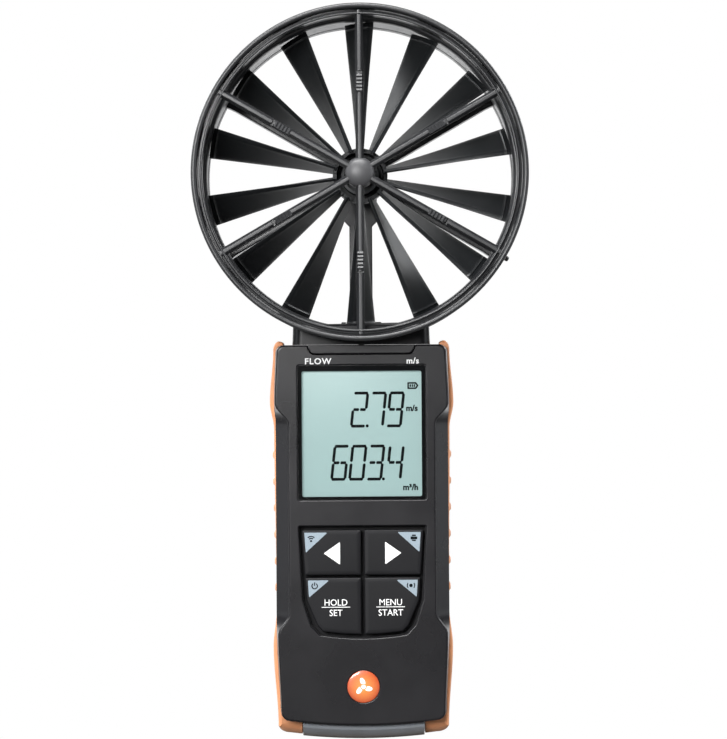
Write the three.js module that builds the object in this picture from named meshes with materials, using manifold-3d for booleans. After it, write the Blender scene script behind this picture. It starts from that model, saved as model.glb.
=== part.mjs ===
// Vane anemometer: a ring-shaped vane head on a hand-held measuring unit, in millimetres.
//
// Pieces are drawn in the front view: x runs to the right, y up and z forward, out of the display.
// The outermost group stands that view upright, so forward becomes -Y and up becomes +Z.
// The origin is the middle of the foot. "depth" always means a position along the forward axis.

import * as THREE from "three";
import { mergeVertices } from "three/addons/utils/BufferGeometryUtils.js";
import Module from "manifold-3d";

const wasm = await Module();
wasm.setup();

// ---------------------------------------------------------------- driving dimensions

const OVERALL_HEIGHT = 228;
const RING_RADIUS = 52;
const HEAD_DEPTH = 46;
const RING_HEIGHT = OVERALL_HEIGHT - RING_RADIUS;
const LIP = HEAD_DEPTH / 2;

const FINE = 48; // facets round the duct
const ROUND = 20; // facets round a hub, post or screw
const SMALL = 12; // facets round a pin or hole
const FIT = 0.3; // clearance between neighbouring moulded pieces
const SLIP = 0.05; // clearance of a piece pressed or running on a shaft

const duct = {
  bandRadius: 51,
  flangeWidth: 4.5,
  bead: 0.85,
  pocketRadius: 50.3,
  pocketDepth: 5.9,
  mouthRadius: 48.8,
  throatRadius: 47.6,
  throatDepth: 6.6,
  throatLand: 0.5,
  throatFlare: 0.15,
  flareLength: 1.2,
  chamberRadius: 48.6,
  rearRadius: 48.3,
};

const guard = {
  spokes: 6,
  rimOuter: 49.9,
  rimInner: 48.4,
  ridgeOuter: 49.2,
  crestDepth: 22.2,
  rimDepth: 5.4,
  rimDraft: 0.2,
  rimChamfer: 0.3,
  stepFront: 1.8,
  stepBack: 2,
  crestWidth: 0.9,
  spokeWidth: 2.5,
  footWidth: 1.5,
  spokeDepth: 4.2,
  spokeShoulder: 1.2,
  spokeRoot: 1.6,
  spokeOverlap: 0.4,
  bossRadius: 4.6,
  bossBack: 8,
  bossFront: 20.4,
  bossTaper: 1.2,
  taperLength: 4,
  gripStart: 24.5,
  gripLength: 5.6,
  gripRibs: 5,
  gripWidth: 1.6,
  gripDepth: 1,
  gripRise: 0.4,
  ribShare: 0.62,
};

const cap = { radius: 4.45, base: 20.7, pegRadius: 1.5, pegBack: 17.2, steps: 5 };

const outlet = {
  front: -17.6,
  back: -22.2,
  spokeWidth: 2,
  hubRadius: 8,
  hubFront: -12,
  columnWidth: 7.3,
  shoulderWidth: 10.4,
  shoulderRadius: 13.5,
  channelWidth: 3.2,
  channelFront: -19.4,
  channelTop: 3.4,
  coverThickness: 0.8,
  coverTop: 9.6,
  coverBottom: 45,
  rimDraft: 0.2,
  spokeOverlap: 0.5,
  hubChamfer: 1,
  hubTaper: 3.4,
  shoulderRise: 1.6,
  columnTop: 4,
  footHalf: 6.4,
  footTop: 45.6,
};

// The bead that senses temperature, in its seat at the foot of the column, and the speed pickup in the hub.
const sensor = {
  x: -4.1,
  y: -46.2,
  radius: 0.9,
  seatHalf: 1.5,
  seatTop: -44.9,
  seatBottom: -47.6,
  seatDepth: 1.6,
};
const pickup = { y: -4.6, radius: 1.2, seatRadius: 1.5, seatBack: -17, back: -16.6 };

const rotorSize = {
  blades: 14,
  hubRadius: 8.6,
  cupRadius: 7.4,
  hubFront: 2,
  hubBack: -8,
  floor: 1.6,
  tipRadius: 47.9,
  bladeFront: 5.2,
  bladeBack: -4.8,
  twist: 0.2,
  bladeThickness: 1,
  bladeRoot: 0.7,
  notchWidth: 1.5,
  notchDepth: 1.1,
  notchReach: 3,
  bladeSteps: 5,
  chamfer: 0.5,
  pillarRadius: 3,
  pillarTop: 2.6,
};

const disc = { gap: 1.2, radius: 3.2, lobes: 4, lobeWidth: 3, lobeReach: 6.6 };

const AXLE_RADIUS = 0.75;
const bearing = { radius: 2, length: 2.4 };
const AXLE_FRONT = guard.bossBack + bearing.length;
const AXLE_BACK = outlet.hubFront - bearing.length;

const neck = {
  halfWidth: 21.4,
  front: 12.4,
  back: -20.4,
  corner: 3.2,
  bottom: 123.3,
  top: 134,
  heel: 3.4,
  seat: 0.8,
};
const tongue = { topHalf: 16.7, tipHalf: 14.9, tip: 120, shoulder: 0.6, draft: 0.3 };
const plug = { halfWidth: 15.6, bottom: 118.6, front: 11, back: -12.6 };
const leg = { inner: 5, outer: 15, bottom: 111, front: -2.4 };
const neckScrew = { x: 10, y: 115 };
const CABLE_RADIUS = 1;
const CABLE_STEPS = 20;
const COLUMN_DEPTH = outlet.channelFront - CABLE_RADIUS;
// Distances below the duct's axis and depths that the sensor cable passes, from the hub to its plug.
const cableCourse = [
  [5.2, COLUMN_DEPTH],
  [30, COLUMN_DEPTH],
  [43, COLUMN_DEPTH],
  [48, COLUMN_DEPTH + 0.8],
  [51.5, COLUMN_DEPTH + 4],
  [54.5, -9],
  [57, -5],
  [60.8, -2],
];

const face = { front: 13.5, back: -16, wall: 1.8, panel: 2.2 };
const shell = { top: 122.9, bottom: 4.9, front: 2, back: 1.7, sideInset: 2.4, flange: 7.7 };
const cavity = { front: face.front - face.panel, back: face.back + face.panel };
const FOOT_ARC_RADIUS = 177;
const GRIP = {
  front: 7.4,
  back: -9,
  top: 124.2,
  topEnd: 22,
  footEnd: 19.2,
  sideLow: 4.2,
  sideHigh: 121.3,
  backRound: 0.9,
  frontRound: 0.7,
  backRoll: 2.2,
  frontRoll: 2.6,
};

// Half widths of the handle at the heights where its silhouette changes.
const SILHOUETTE = [
  { at: 2.3, half: 25.3 },
  { at: 4.2, half: 26.6 },
  { at: 29, half: 28 },
  { at: 41, half: 26.9 },
  { at: 97, half: 27.4 },
  { at: 105, half: 28.65 },
  { at: 121.3, half: 27.5 },
  { at: 124.2, half: 26 },
];
// The raised panel on the front: broad at both ends, drawn in at the waist.
const PANEL = [
  { at: 4.9, half: 25 },
  { at: 32.4, half: 26 },
  { at: 38.7, half: 23 },
  { at: 98.6, half: 23 },
  { at: 104, half: 27 },
  { at: 122.9, half: 26.3 },
];
// The outer edge of the front shell, where it meets the side grips.
const EDGE = [
  { at: 4.9, half: 25.4 },
  { at: 32.4, half: 26.5 },
  { at: 98.6, half: 26.8 },
  { at: 104, half: 27.3 },
  { at: 122.9, half: 26.7 },
];
// Shares of the handle's height at which its outlines are sampled, closer where the sides bend.
const RAILS = [
  0, 0.05, 0.12, 0.2, 0.24, 0.26, 0.285, 0.32, 0.5, 0.72, 0.79, 0.805, 0.82, 0.84, 0.86, 0.93, 0.98, 1,
];

const lcd = { half: 18.7, bottom: 75.8, top: 114.8 };
const windowSeat = { half: 20, bottom: 74.7, top: 116.75, depth: 1.2, corner: 0.8 };
const keypad = {
  top: 66.8,
  topHalf: 19.9,
  waist: 43.6,
  waistHalf: 18.7,
  low: 35.9,
  lowHalf: 16.3,
  bottom: 32.9,
  bottomHalf: 13.4,
  bottomSag: 2.2,
};
const keys = {
  top: 65.5,
  split: 51.1,
  rowGap: 0.8,
  centreGap: 1,
  bottom: 34,
  sag: 0.9,
  sideSag: 0.7,
  middleHeight: 59,
  middleHalf: 18.5,
  waistHalf: 17.45,
  lowHalf: 14.15,
  bottomHalf: 12.4,
  front: 13.2,
  back: 9.9,
  chamfer: 0.35,
  travel: 0.8,
};
const badge = { radius: 5, height: 16.9, thickness: 0.7, seat: 0.5 };
const rib = {
  count: 6,
  top: 88.7,
  pitch: 8.3,
  half: 1.3,
  crestHalf: 0.7,
  height: 0.55,
  root: 0.5,
  backGap: 2.6,
  frontGap: 3,
};

const board = { front: 5.6, back: 4, half: 21.4, bottom: 13.4, top: 117.4 };
const cell = {
  radius: 5.2,
  length: 43.4,
  nub: 1.1,
  nubRadius: 1.9,
  pitch: 11.4,
  bottom: 22.6,
  depth: -8.3,
};
const tray = { half: 17.7, bottom: 17.2, top: 71.4, front: -1.4, back: -13.3, end: 1.2 };
const CONTACT_GAP = 0.2;
const spring = {
  wire: 0.3,
  turns: 2.5,
  base: 3.6,
  taper: 1.6,
  seatGap: 0.15,
  points: 20,
  steps: 26,
  facets: 3,
};
const contact = { half: 4, depth: 3.6, thickness: 0.4 };
const cover = { half: 18, bottom: 13.4, top: 75.4, thickness: 1.7, corner: 1.7 };
const coverTab = { half: 4, bottom: 2.6, top: 1.2, depth: 1.6 };
const coverRidge = { count: 5, half: 7, start: 6, pitch: 2.4, thickness: 0.5 };
const post = { radius: 2.1, sleeve: 2.9, topX: 21.4, topY: 117.3, bottomX: 19.4, bottomY: 10.6 };
const screwSize = { pilot: 0.8, shank: 1.15, sink: 1.9, headHeight: 1.4, slotReach: 1, slotHalf: 0.26 };

// ---------------------------------------------------------------- solid-making helpers

const TAU = Math.PI * 2;
const WELD = 1e-4;

/** A closed three.js geometry as a solid that can be joined and cut. */
function solid(geometry) {
  const bare = geometry.clone();
  bare.deleteAttribute("normal");
  bare.deleteAttribute("uv");
  const welded = mergeVertices(bare, WELD);
  const mesh = new wasm.Mesh({
    numProp: 3,
    vertProperties: welded.attributes.position.array,
    triVerts: new Uint32Array(welded.index.array),
  });
  return new wasm.Manifold(mesh);
}

/** A solid back as a three.js geometry. */
function geometryOf(body) {
  const { vertProperties, triVerts } = body.getMesh();
  const geometry = new THREE.BufferGeometry();
  geometry.setAttribute("position", new THREE.BufferAttribute(vertProperties, 3));
  geometry.setIndex(new THREE.BufferAttribute(triVerts, 1));
  geometry.computeVertexNormals();
  return geometry;
}

/** The sum of several solids. */
function join(...bodies) {
  return bodies.flat().reduce((sum, body) => sum.add(body));
}

/** The first solid with all the others taken away. */
function cut(body, ...tools) {
  return tools.flat().reduce((rest, tool) => rest.subtract(tool), body);
}

/** A front-view shape given thickness from one depth to another. */
function slab(shape, back, front, curveSegments = 6) {
  const options = { depth: front - back, bevelEnabled: false, curveSegments };
  return solid(new THREE.ExtrudeGeometry(shape, options).translate(0, 0, back));
}

/** A slab whose front and back edges are chamfered. */
function chamferedSlab(shape, back, front, chamfer, curveSegments = 6) {
  const options = {
    depth: front - back - 2 * chamfer,
    bevelThickness: chamfer,
    bevelSize: chamfer,
    bevelOffset: -chamfer,
    bevelSegments: 1,
    curveSegments,
  };
  return solid(new THREE.ExtrudeGeometry(shape, options).translate(0, 0, back + chamfer));
}

/** A plan-view shape (x right, y backward) given height from one level to another. */
function prism(shape, bottom, top, curveSegments = 6) {
  const options = { depth: top - bottom, bevelEnabled: false, curveSegments };
  return solid(new THREE.ExtrudeGeometry(shape, options).rotateX(-Math.PI / 2).translate(0, bottom, 0));
}

/** A box between two corners. */
function block([x0, y0, z0], [x1, y1, z1]) {
  const box = new THREE.BoxGeometry(x1 - x0, y1 - y0, z1 - z0);
  return solid(box.translate((x0 + x1) / 2, (y0 + y1) / 2, (z0 + z1) / 2));
}

/** A body turned about the forward axis; the profile lists [radius, depth] anticlockwise. */
function turned(profile, facets = ROUND) {
  const points = profile.map(([radius, depth]) => new THREE.Vector2(radius, depth));
  return solid(new THREE.LatheGeometry(points, facets).rotateX(Math.PI / 2));
}

/** A turned ring with its profile closed on itself. */
function turnedRing(profile, facets = FINE) {
  return turned([...profile, profile[0]], facets);
}

/** A round bar along the forward axis. */
function rod(radius, back, front, x = 0, y = 0, facets = SMALL) {
  const bar = new THREE.CylinderGeometry(radius, radius, front - back, facets);
  return solid(bar.rotateX(Math.PI / 2).translate(x, y, (front + back) / 2));
}

/** A round bar that stands upright. */
function upright(radius, bottom, top, x, depth, facets = SMALL) {
  const bar = new THREE.CylinderGeometry(radius, radius, top - bottom, facets);
  return solid(bar.translate(x, (top + bottom) / 2, depth));
}

/** A copy of a geometry turned about the forward axis. */
function spun(geometry, angle) {
  return solid(geometry.clone().rotateZ(angle));
}

/** A closed body through matching outlines, listed from back to front. */
function loft(sections) {
  const count = sections[0].outline.length;
  const positions = sections.flatMap(({ outline, depth }) => outline.flatMap((p) => [p.x, p.y, depth]));
  const faces = [];
  for (let level = 0; level + 1 < sections.length; level++) {
    for (let i = 0; i < count; i++) {
      const a = level * count + i;
      const b = level * count + ((i + 1) % count);
      faces.push(a, b, b + count, a, b + count, a + count);
    }
  }
  const lastLevel = (sections.length - 1) * count;
  for (const [a, b, c] of THREE.ShapeUtils.triangulateShape(sections[0].outline, [])) {
    faces.push(a, c, b);
  }
  for (const [a, b, c] of THREE.ShapeUtils.triangulateShape(sections.at(-1).outline, [])) {
    faces.push(a + lastLevel, b + lastLevel, c + lastLevel);
  }
  const geometry = new THREE.BufferGeometry();
  geometry.setAttribute("position", new THREE.Float32BufferAttribute(positions, 3));
  geometry.setIndex(faces);
  return solid(geometry);
}

/** A wire or cable along a path, round in section. */
function sweep(path, radius, steps, facets = 4) {
  const section = new THREE.Shape().absarc(0, 0, radius, 0, TAU);
  const options = { extrudePath: path, steps, curveSegments: facets, bevelEnabled: false };
  return solid(new THREE.ExtrudeGeometry(section, options));
}

/** A front-view rectangle with rounded corners. */
function roundedRect(x0, y0, x1, y1, radius) {
  const shape = new THREE.Shape();
  shape.moveTo(x0 + radius, y0);
  shape.lineTo(x1 - radius, y0);
  shape.absarc(x1 - radius, y0 + radius, radius, -Math.PI / 2, 0);
  shape.lineTo(x1, y1 - radius);
  shape.absarc(x1 - radius, y1 - radius, radius, 0, Math.PI / 2);
  shape.lineTo(x0 + radius, y1);
  shape.absarc(x0 + radius, y1 - radius, radius, Math.PI / 2, Math.PI);
  shape.lineTo(x0, y0 + radius);
  shape.absarc(x0 + radius, y0 + radius, radius, Math.PI, 1.5 * Math.PI);
  return shape;
}

/** A shape from a list of [x, y] corners. */
function polygon(corners) {
  return new THREE.Shape(corners.map(([x, y]) => new THREE.Vector2(x, y)));
}

// ---------------------------------------------------------------- the assembly's scene graph

const anemometer = new THREE.Group();
const frontView = new THREE.Group();
frontView.rotation.x = Math.PI / 2;
anemometer.add(frontView);
const head = new THREE.Group();
head.position.y = RING_HEIGHT;
frontView.add(head);

const finishes = {
  housing: { color: 0x2a2b2e, roughness: 0.5, metalness: 0 },
  blade: { color: 0x141517, roughness: 0.3, metalness: 0 },
  casing: { color: 0x37383b, roughness: 0.55, metalness: 0 },
  grip: { color: 0xd9824a, roughness: 0.7, metalness: 0 },
  strip: { color: 0x6b7078, roughness: 0.6, metalness: 0 },
  window: { color: 0xdfe8e8, roughness: 0.05, metalness: 0 },
  lcd: { color: 0xb0cdcc, roughness: 0.35, metalness: 0 },
  key: { color: 0x242528, roughness: 0.6, metalness: 0 },
  badge: { color: 0xd9752b, roughness: 0.3, metalness: 0 },
  steel: { color: 0xb8bcc0, roughness: 0.3, metalness: 1 },
  brass: { color: 0xc2a052, roughness: 0.35, metalness: 1 },
  board: { color: 0x1f5c38, roughness: 0.5, metalness: 0 },
  inner: { color: 0xc9cbc8, roughness: 0.6, metalness: 0 },
  cell: { color: 0x3c5f8f, roughness: 0.35, metalness: 0.3 },
};

/** Puts one named piece into a group. */
function place(group, name, finish, body) {
  const mesh = new THREE.Mesh(geometryOf(body), new THREE.MeshStandardMaterial(finishes[finish]));
  mesh.name = name;
  group.add(mesh);
}

// ---------------------------------------------------------------- vane head

/** The half-round edge of a duct flange, from its outside to its inside. */
function beadArc(edge, direction, steps = 4) {
  const centre = RING_RADIUS - duct.bead;
  const points = [];
  for (let i = 0; i <= steps; i++) {
    const angle = (Math.PI * i) / steps;
    const depth = edge - direction * duct.bead * (1 - Math.sin(angle));
    points.push([centre + duct.bead * Math.cos(angle), depth]);
  }
  return direction > 0 ? points : points.reverse();
}

/** The duct: two beaded flanges, a pocket for each guard, a drawn-in mouth and the vane chamber. */
function ductBody() {
  const flangeInner = LIP - duct.flangeWidth;
  const pocketFloor = LIP - duct.pocketDepth;
  return turnedRing([
    [duct.pocketRadius, -pocketFloor],
    [duct.pocketRadius, -LIP + duct.bead],
    ...beadArc(-LIP, -1).slice(1),
    [RING_RADIUS, -flangeInner],
    [duct.bandRadius, -flangeInner + 1],
    [duct.bandRadius, flangeInner - 1],
    [RING_RADIUS, flangeInner],
    ...beadArc(LIP, 1),
    [duct.pocketRadius, pocketFloor],
    [duct.mouthRadius, pocketFloor],
    [duct.throatRadius + duct.throatFlare, duct.throatDepth + duct.flareLength],
    [duct.throatRadius, duct.throatDepth],
    [duct.throatRadius, duct.throatDepth - duct.throatLand],
    [duct.chamberRadius, duct.throatDepth - 2 * duct.throatLand],
    [duct.chamberRadius, -pocketFloor],
  ]);
}

/** The neck under the duct, its plug in the handle and the tongue that shows on the front. */
function neckBody() {
  const plan = roundedRect(-neck.halfWidth, -neck.front, neck.halfWidth, -neck.back, neck.corner);
  const low = neck.bottom - RING_HEIGHT;
  const saddle = prism(plan, low, neck.top - RING_HEIGHT);
  const heel = new THREE.Shape();
  heel.moveTo(-neck.back + 1, neck.bottom - 1);
  heel.lineTo(-neck.back + 1, neck.bottom + neck.heel);
  heel.lineTo(-face.back - 1, neck.bottom - 1);
  const heelCut = new THREE.ExtrudeGeometry(heel, { depth: 2 * neck.halfWidth + 2, bevelEnabled: false });
  heelCut.rotateY(Math.PI / 2).translate(-neck.halfWidth - 1, -RING_HEIGHT, 0);
  const plugBody = block(
    [-plug.halfWidth, plug.bottom - RING_HEIGHT, plug.back],
    [plug.halfWidth, low + 1, plug.front],
  );
  const legs = [-1, 1].map((side) => block(
    [Math.min(side * leg.inner, side * leg.outer), leg.bottom - RING_HEIGHT, plug.back],
    [Math.max(side * leg.inner, side * leg.outer), plug.bottom + 1 - RING_HEIGHT, leg.front],
  ));
  const tip = tongue.tip - RING_HEIGHT;
  const lip = new THREE.Shape();
  const shoulder = shell.top - tongue.shoulder - RING_HEIGHT;
  lip.moveTo(-tongue.topHalf, low + neck.seat);
  lip.lineTo(-tongue.topHalf, shoulder);
  lip.quadraticCurveTo(-tongue.topHalf + tongue.draft, tip, -tongue.tipHalf, tip);
  lip.lineTo(tongue.tipHalf, tip);
  lip.quadraticCurveTo(tongue.topHalf - tongue.draft, tip, tongue.topHalf, shoulder);
  lip.lineTo(tongue.topHalf, low + neck.seat);
  const lipBody = slab(lip, plug.front - 1, face.front);
  const ductSpace = rod(duct.bandRadius - neck.seat, -LIP, LIP, 0, 0, FINE);
  return cut(join(saddle, plugBody, legs, lipBody), solid(heelCut), ductSpace);
}

/** The path of the sensor cable, from the vane hub down to the plug on the board. */
function cablePath() {
  return new THREE.CatmullRomCurve3(cableCourse.map(([drop, depth]) => new THREE.Vector3(0, -drop, depth)));
}

const cable = sweep(cablePath(), CABLE_RADIUS, CABLE_STEPS);
const cableWay = sweep(cablePath(), CABLE_RADIUS + FIT, CABLE_STEPS);

/** Two pilot holes in the legs of the plug for the neck screws. */
const neckPilots = [-1, 1].map((side) =>
  rod(screwSize.pilot, plug.back - 1, leg.front + 1, side * neckScrew.x, neckScrew.y - RING_HEIGHT));

const funnelPin = { angle: (-29 * Math.PI) / 180, depth: -16, radius: 0.8, inner: 50.2, outer: 55 };

/** The locating pin that stands out of the duct, or the hole it is pressed into. */
function radialPin(radius) {
  const length = funnelPin.outer - funnelPin.inner;
  const bar = new THREE.CylinderGeometry(radius, radius, length, SMALL);
  bar.rotateZ(-Math.PI / 2).translate((funnelPin.inner + funnelPin.outer) / 2, 0, funnelPin.depth);
  return spun(bar, funnelPin.angle);
}

place(head, "vane_housing", "housing",
  cut(join(ductBody(), neckBody()), cableWay, neckPilots, radialPin(funnelPin.radius + SLIP)));
place(head, "funnel_pin", "steel", radialPin(funnelPin.radius));
place(head, "sensor_cable", "key", cable);

/** A six-armed spider: one arm geometry, drawn pointing up, repeated round the hub. */
function spider(arm, count) {
  return Array.from({ length: count }, (_, i) => spun(arm, (TAU * i) / count));
}

/** One arm of the inlet guard: a blade-like web under a narrow bright crest. */
function inletArm() {
  const crest = guard.crestDepth - guard.gripRise;
  const start = guard.bossRadius - guard.spokeRoot;
  const section = polygon([
    [-guard.crestWidth / 2, -crest],
    [guard.crestWidth / 2, -crest],
    [guard.spokeWidth / 2, guard.spokeShoulder - crest],
    [guard.footWidth / 2, guard.spokeDepth - crest],
    [-guard.footWidth / 2, guard.spokeDepth - crest],
    [-guard.spokeWidth / 2, guard.spokeShoulder - crest],
  ]);
  const options = { depth: guard.rimInner + guard.spokeOverlap - start, bevelEnabled: false };
  return new THREE.ExtrudeGeometry(section, options).rotateX(-Math.PI / 2).translate(0, start, 0);
}

/** The finely ribbed block on each arm of the inlet guard. */
function gripBlocks() {
  const pitch = guard.gripLength / guard.gripRibs;
  const blocks = [];
  for (let i = 0; i < guard.gripRibs; i++) {
    const rib = new THREE.BoxGeometry(guard.gripWidth, pitch * guard.ribShare, guard.gripDepth);
    rib.translate(0, guard.gripStart + pitch * (i + 0.5), guard.crestDepth - guard.gripDepth / 2);
    blocks.push(...spider(rib, guard.spokes));
  }
  return blocks;
}

/** The inlet guard: rim, arms, ribbed blocks and the boss that carries the front bearing. */
function inletGuard() {
  const rim = turnedRing([
    [guard.rimInner + guard.rimDraft, LIP - guard.rimDepth],
    [guard.rimOuter, LIP - guard.rimDepth],
    [guard.rimOuter, LIP - guard.stepBack],
    [guard.ridgeOuter, LIP - guard.stepFront],
    [guard.ridgeOuter, guard.crestDepth - guard.rimChamfer],
    [guard.ridgeOuter - guard.rimChamfer, guard.crestDepth],
    [guard.rimInner + guard.rimDraft, guard.crestDepth],
    [guard.rimInner, guard.crestDepth - guard.rimChamfer],
  ]);
  const boss = turned([
    [0, guard.bossBack],
    [guard.bossRadius - guard.bossTaper, guard.bossBack],
    [guard.bossRadius, guard.bossBack + guard.taperLength],
    [guard.bossRadius, guard.bossFront],
    [0, guard.bossFront],
  ]);
  const bearingSeat = rod(bearing.radius + SLIP, guard.bossBack - 1, AXLE_FRONT + FIT, 0, 0, ROUND);
  const capSeat = rod(cap.pegRadius + SLIP, cap.pegBack - FIT, cap.base + FIT, 0, 0, SMALL);
  const spiderBody = join(rim, boss, spider(inletArm(), guard.spokes), gripBlocks());
  return cut(spiderBody, bearingSeat, capSeat, capClearance());
}

/** The space over the boss that the dome of the cap fills. */
function capClearance() {
  return rod(cap.radius + FIT, guard.bossFront, LIP, 0, 0, ROUND);
}

/** The domed cap on the inlet guard, with its peg. */
function hubCap() {
  const rise = LIP - cap.base;
  const profile = [
    [0, cap.pegBack],
    [cap.pegRadius, cap.pegBack],
    [cap.pegRadius, cap.base],
    [cap.radius, cap.base],
  ];
  for (let i = 1; i < cap.steps; i++) {
    const angle = (Math.PI / 2) * (i / cap.steps);
    profile.push([cap.radius * Math.cos(angle), cap.base + rise * Math.sin(angle)]);
  }
  return turned([...profile, [0, LIP]]);
}

/** A bearing bush round the axle, between two depths. */
function bush(back, front) {
  const bore = AXLE_RADIUS + SLIP;
  return turnedRing([[bore, back], [bearing.radius, back], [bearing.radius, front], [bore, front]], ROUND);
}

place(head, "inlet_guard", "housing", inletGuard());
place(head, "hub_cap", "casing", hubCap());
place(head, "front_bearing", "brass", bush(guard.bossBack, AXLE_FRONT));
place(head, "rear_bearing", "brass", bush(AXLE_BACK, outlet.hubFront));

/** Half the width of the cover that closes the wire channel in the column. */
const coverHalf = outlet.columnWidth / 2 - 1;

/** The outlet guard: rim, five thin arms, and the broad column that carries the sensor wires. */
function outletGuard() {
  const rim = turnedRing([
    [duct.rearRadius, outlet.back],
    [guard.rimOuter, outlet.back],
    [guard.rimOuter, outlet.front],
    [duct.rearRadius + outlet.rimDraft, outlet.front],
  ]);
  const armLength = duct.rearRadius + outlet.spokeOverlap;
  const middle = (outlet.front + outlet.back) / 2;
  const arm = new THREE.BoxGeometry(outlet.spokeWidth, armLength, outlet.front - outlet.back);
  arm.translate(0, armLength / 2, middle);
  const hub = turned([
    [0, outlet.back],
    [outlet.hubRadius - outlet.hubChamfer, outlet.back],
    [outlet.hubRadius, outlet.back + outlet.hubChamfer],
    [outlet.hubRadius, outlet.front + outlet.hubChamfer],
    [outlet.hubRadius - outlet.hubTaper, outlet.hubFront],
    [0, outlet.hubFront],
  ]);
  const half = outlet.columnWidth / 2;
  const shoulder = outlet.shoulderWidth / 2;
  const column = polygon([
    [-half, -armLength],
    [half, -armLength],
    [half, -outlet.shoulderRadius - outlet.shoulderRise],
    [shoulder, -outlet.shoulderRadius],
    [shoulder, -outlet.columnTop],
    [-shoulder, -outlet.columnTop],
    [-shoulder, -outlet.shoulderRadius],
    [-half, -outlet.shoulderRadius - outlet.shoulderRise],
  ]);
  const columnBody = slab(column, outlet.back, outlet.front);
  const footBody = slab(polygon([
    [-outlet.footHalf, -armLength],
    [outlet.footHalf, -armLength],
    [outlet.footHalf, -outlet.footTop],
    [-outlet.footHalf, -outlet.footTop],
  ]), outlet.back, outlet.front);
  const sensorSeat = block(
    [sensor.x - sensor.seatHalf, sensor.seatBottom, outlet.front - sensor.seatDepth],
    [sensor.x + sensor.seatHalf, sensor.seatTop, outlet.front + 1],
  );
  const channel = block(
    [-outlet.channelWidth / 2, -armLength - 1, outlet.back - 1],
    [outlet.channelWidth / 2, -outlet.channelTop, outlet.channelFront + FIT],
  );
  const coverSeat = block(
    [-coverHalf - FIT, -outlet.coverBottom, outlet.back - 1],
    [coverHalf + FIT, -outlet.coverTop, outlet.back + outlet.coverThickness],
  );
  const bearingSeat = rod(bearing.radius + SLIP, AXLE_BACK - FIT, outlet.hubFront + 1, 0, 0, ROUND);
  const pickupSeat = rod(pickup.seatRadius, pickup.seatBack, outlet.hubFront + 1, 0, pickup.y, SMALL);
  return cut(
    join(rim, spider(arm, guard.spokes), hub, columnBody, footBody)
      .intersect(rod(guard.rimOuter, outlet.back - 1, LIP, 0, 0, FINE)),
    sensorSeat, channel, coverSeat, bearingSeat, pickupSeat, cableWay,
  );
}

place(head, "outlet_guard", "housing", outletGuard());
place(head, "column_cover", "housing", block(
  [-coverHalf, FIT - outlet.coverBottom, outlet.back],
  [coverHalf, -outlet.coverTop - FIT, outlet.back + outlet.coverThickness - FIT],
));
const bead = new THREE.SphereGeometry(sensor.radius, SMALL, 8);
place(head, "temperature_sensor", "inner",
  solid(bead.translate(sensor.x, sensor.y, outlet.front + 2 * SLIP)));
place(head, "speed_pickup", "brass",
  rod(pickup.radius, pickup.back, outlet.hubFront - 4 * SLIP, 0, pickup.y));

/** One helical blade, pointing up: its clockwise edge leads towards the inlet. */
function bladeGeometry() {
  const { tipRadius, bladeFront, bladeBack, twist, bladeThickness, bladeSteps } = rotorSize;
  const root = rotorSize.hubRadius - rotorSize.bladeRoot;
  const half = bladeThickness / 2;
  const corners = [[-half, root], [half, root], [half, tipRadius], [-half, tipRadius]];
  const positions = [];
  for (let step = 0; step <= bladeSteps; step++) {
    const share = step / bladeSteps;
    const angle = twist * (0.5 - share);
    const depth = bladeBack + (bladeFront - bladeBack) * share;
    for (const [across, out] of corners) {
      positions.push(across * Math.cos(angle) - out * Math.sin(angle));
      positions.push(across * Math.sin(angle) + out * Math.cos(angle));
      positions.push(depth);
    }
  }
  const faces = [];
  const count = corners.length;
  for (let step = 0; step < bladeSteps; step++) {
    for (let i = 0; i < count; i++) {
      const a = step * count + i;
      const b = step * count + ((i + 1) % count);
      faces.push(a, b, b + count, a, b + count, a + count);
    }
  }
  const end = bladeSteps * count;
  faces.push(0, 2, 1, 0, 3, 2, end, end + 1, end + 2, end, end + 2, end + 3);
  const geometry = new THREE.BufferGeometry();
  geometry.setAttribute("position", new THREE.Float32BufferAttribute(positions, 3));
  geometry.setIndex(faces);
  return geometry;
}

/** The vane wheel: a cup-shaped hub with a notched rim, and its ring of blades. */
function vaneWheel() {
  const { hubRadius, cupRadius, hubFront, hubBack, floor, blades, chamfer } = rotorSize;
  const hub = turned([
    [0, hubBack],
    [hubRadius - chamfer, hubBack],
    [hubRadius, hubBack + chamfer],
    [hubRadius, hubFront],
    [cupRadius, hubFront],
    [cupRadius, hubBack + floor],
    [rotorSize.pillarRadius, hubBack + floor],
    [rotorSize.pillarTop, hubFront - 1],
    [0, hubFront - 1],
  ], 2 * blades);
  const notch = new THREE.BoxGeometry(rotorSize.notchWidth, rotorSize.notchReach, 2 * rotorSize.notchDepth);
  notch.translate(0, hubRadius, hubFront).rotateZ(TAU / blades / 2);
  const bore = rod(AXLE_RADIUS + SLIP, hubBack - 1, hubFront + 1);
  return cut(join(hub, spider(bladeGeometry(), blades)), spider(notch, blades), bore);
}

/** The thin steel disc behind the hub whose lobes pass the pickup. */
function signalDisc() {
  const back = rotorSize.hubBack - disc.gap;
  const front = rotorSize.hubBack - FIT;
  const plate = rod(disc.radius, back, front, 0, 0, ROUND);
  const lobe = new THREE.BoxGeometry(disc.lobeWidth, disc.lobeReach, front - back);
  lobe.translate(0, disc.lobeReach / 2, (front + back) / 2);
  return cut(join(plate, spider(lobe, disc.lobes)), rod(AXLE_RADIUS + SLIP, back - 1, front + 1));
}

place(head, "vane_wheel", "blade", vaneWheel());
place(head, "signal_disc", "steel", signalDisc());
place(head, "rotor_axle", "steel", rod(AXLE_RADIUS, AXLE_BACK, AXLE_FRONT));

// ---------------------------------------------------------------- handle casing

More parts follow.
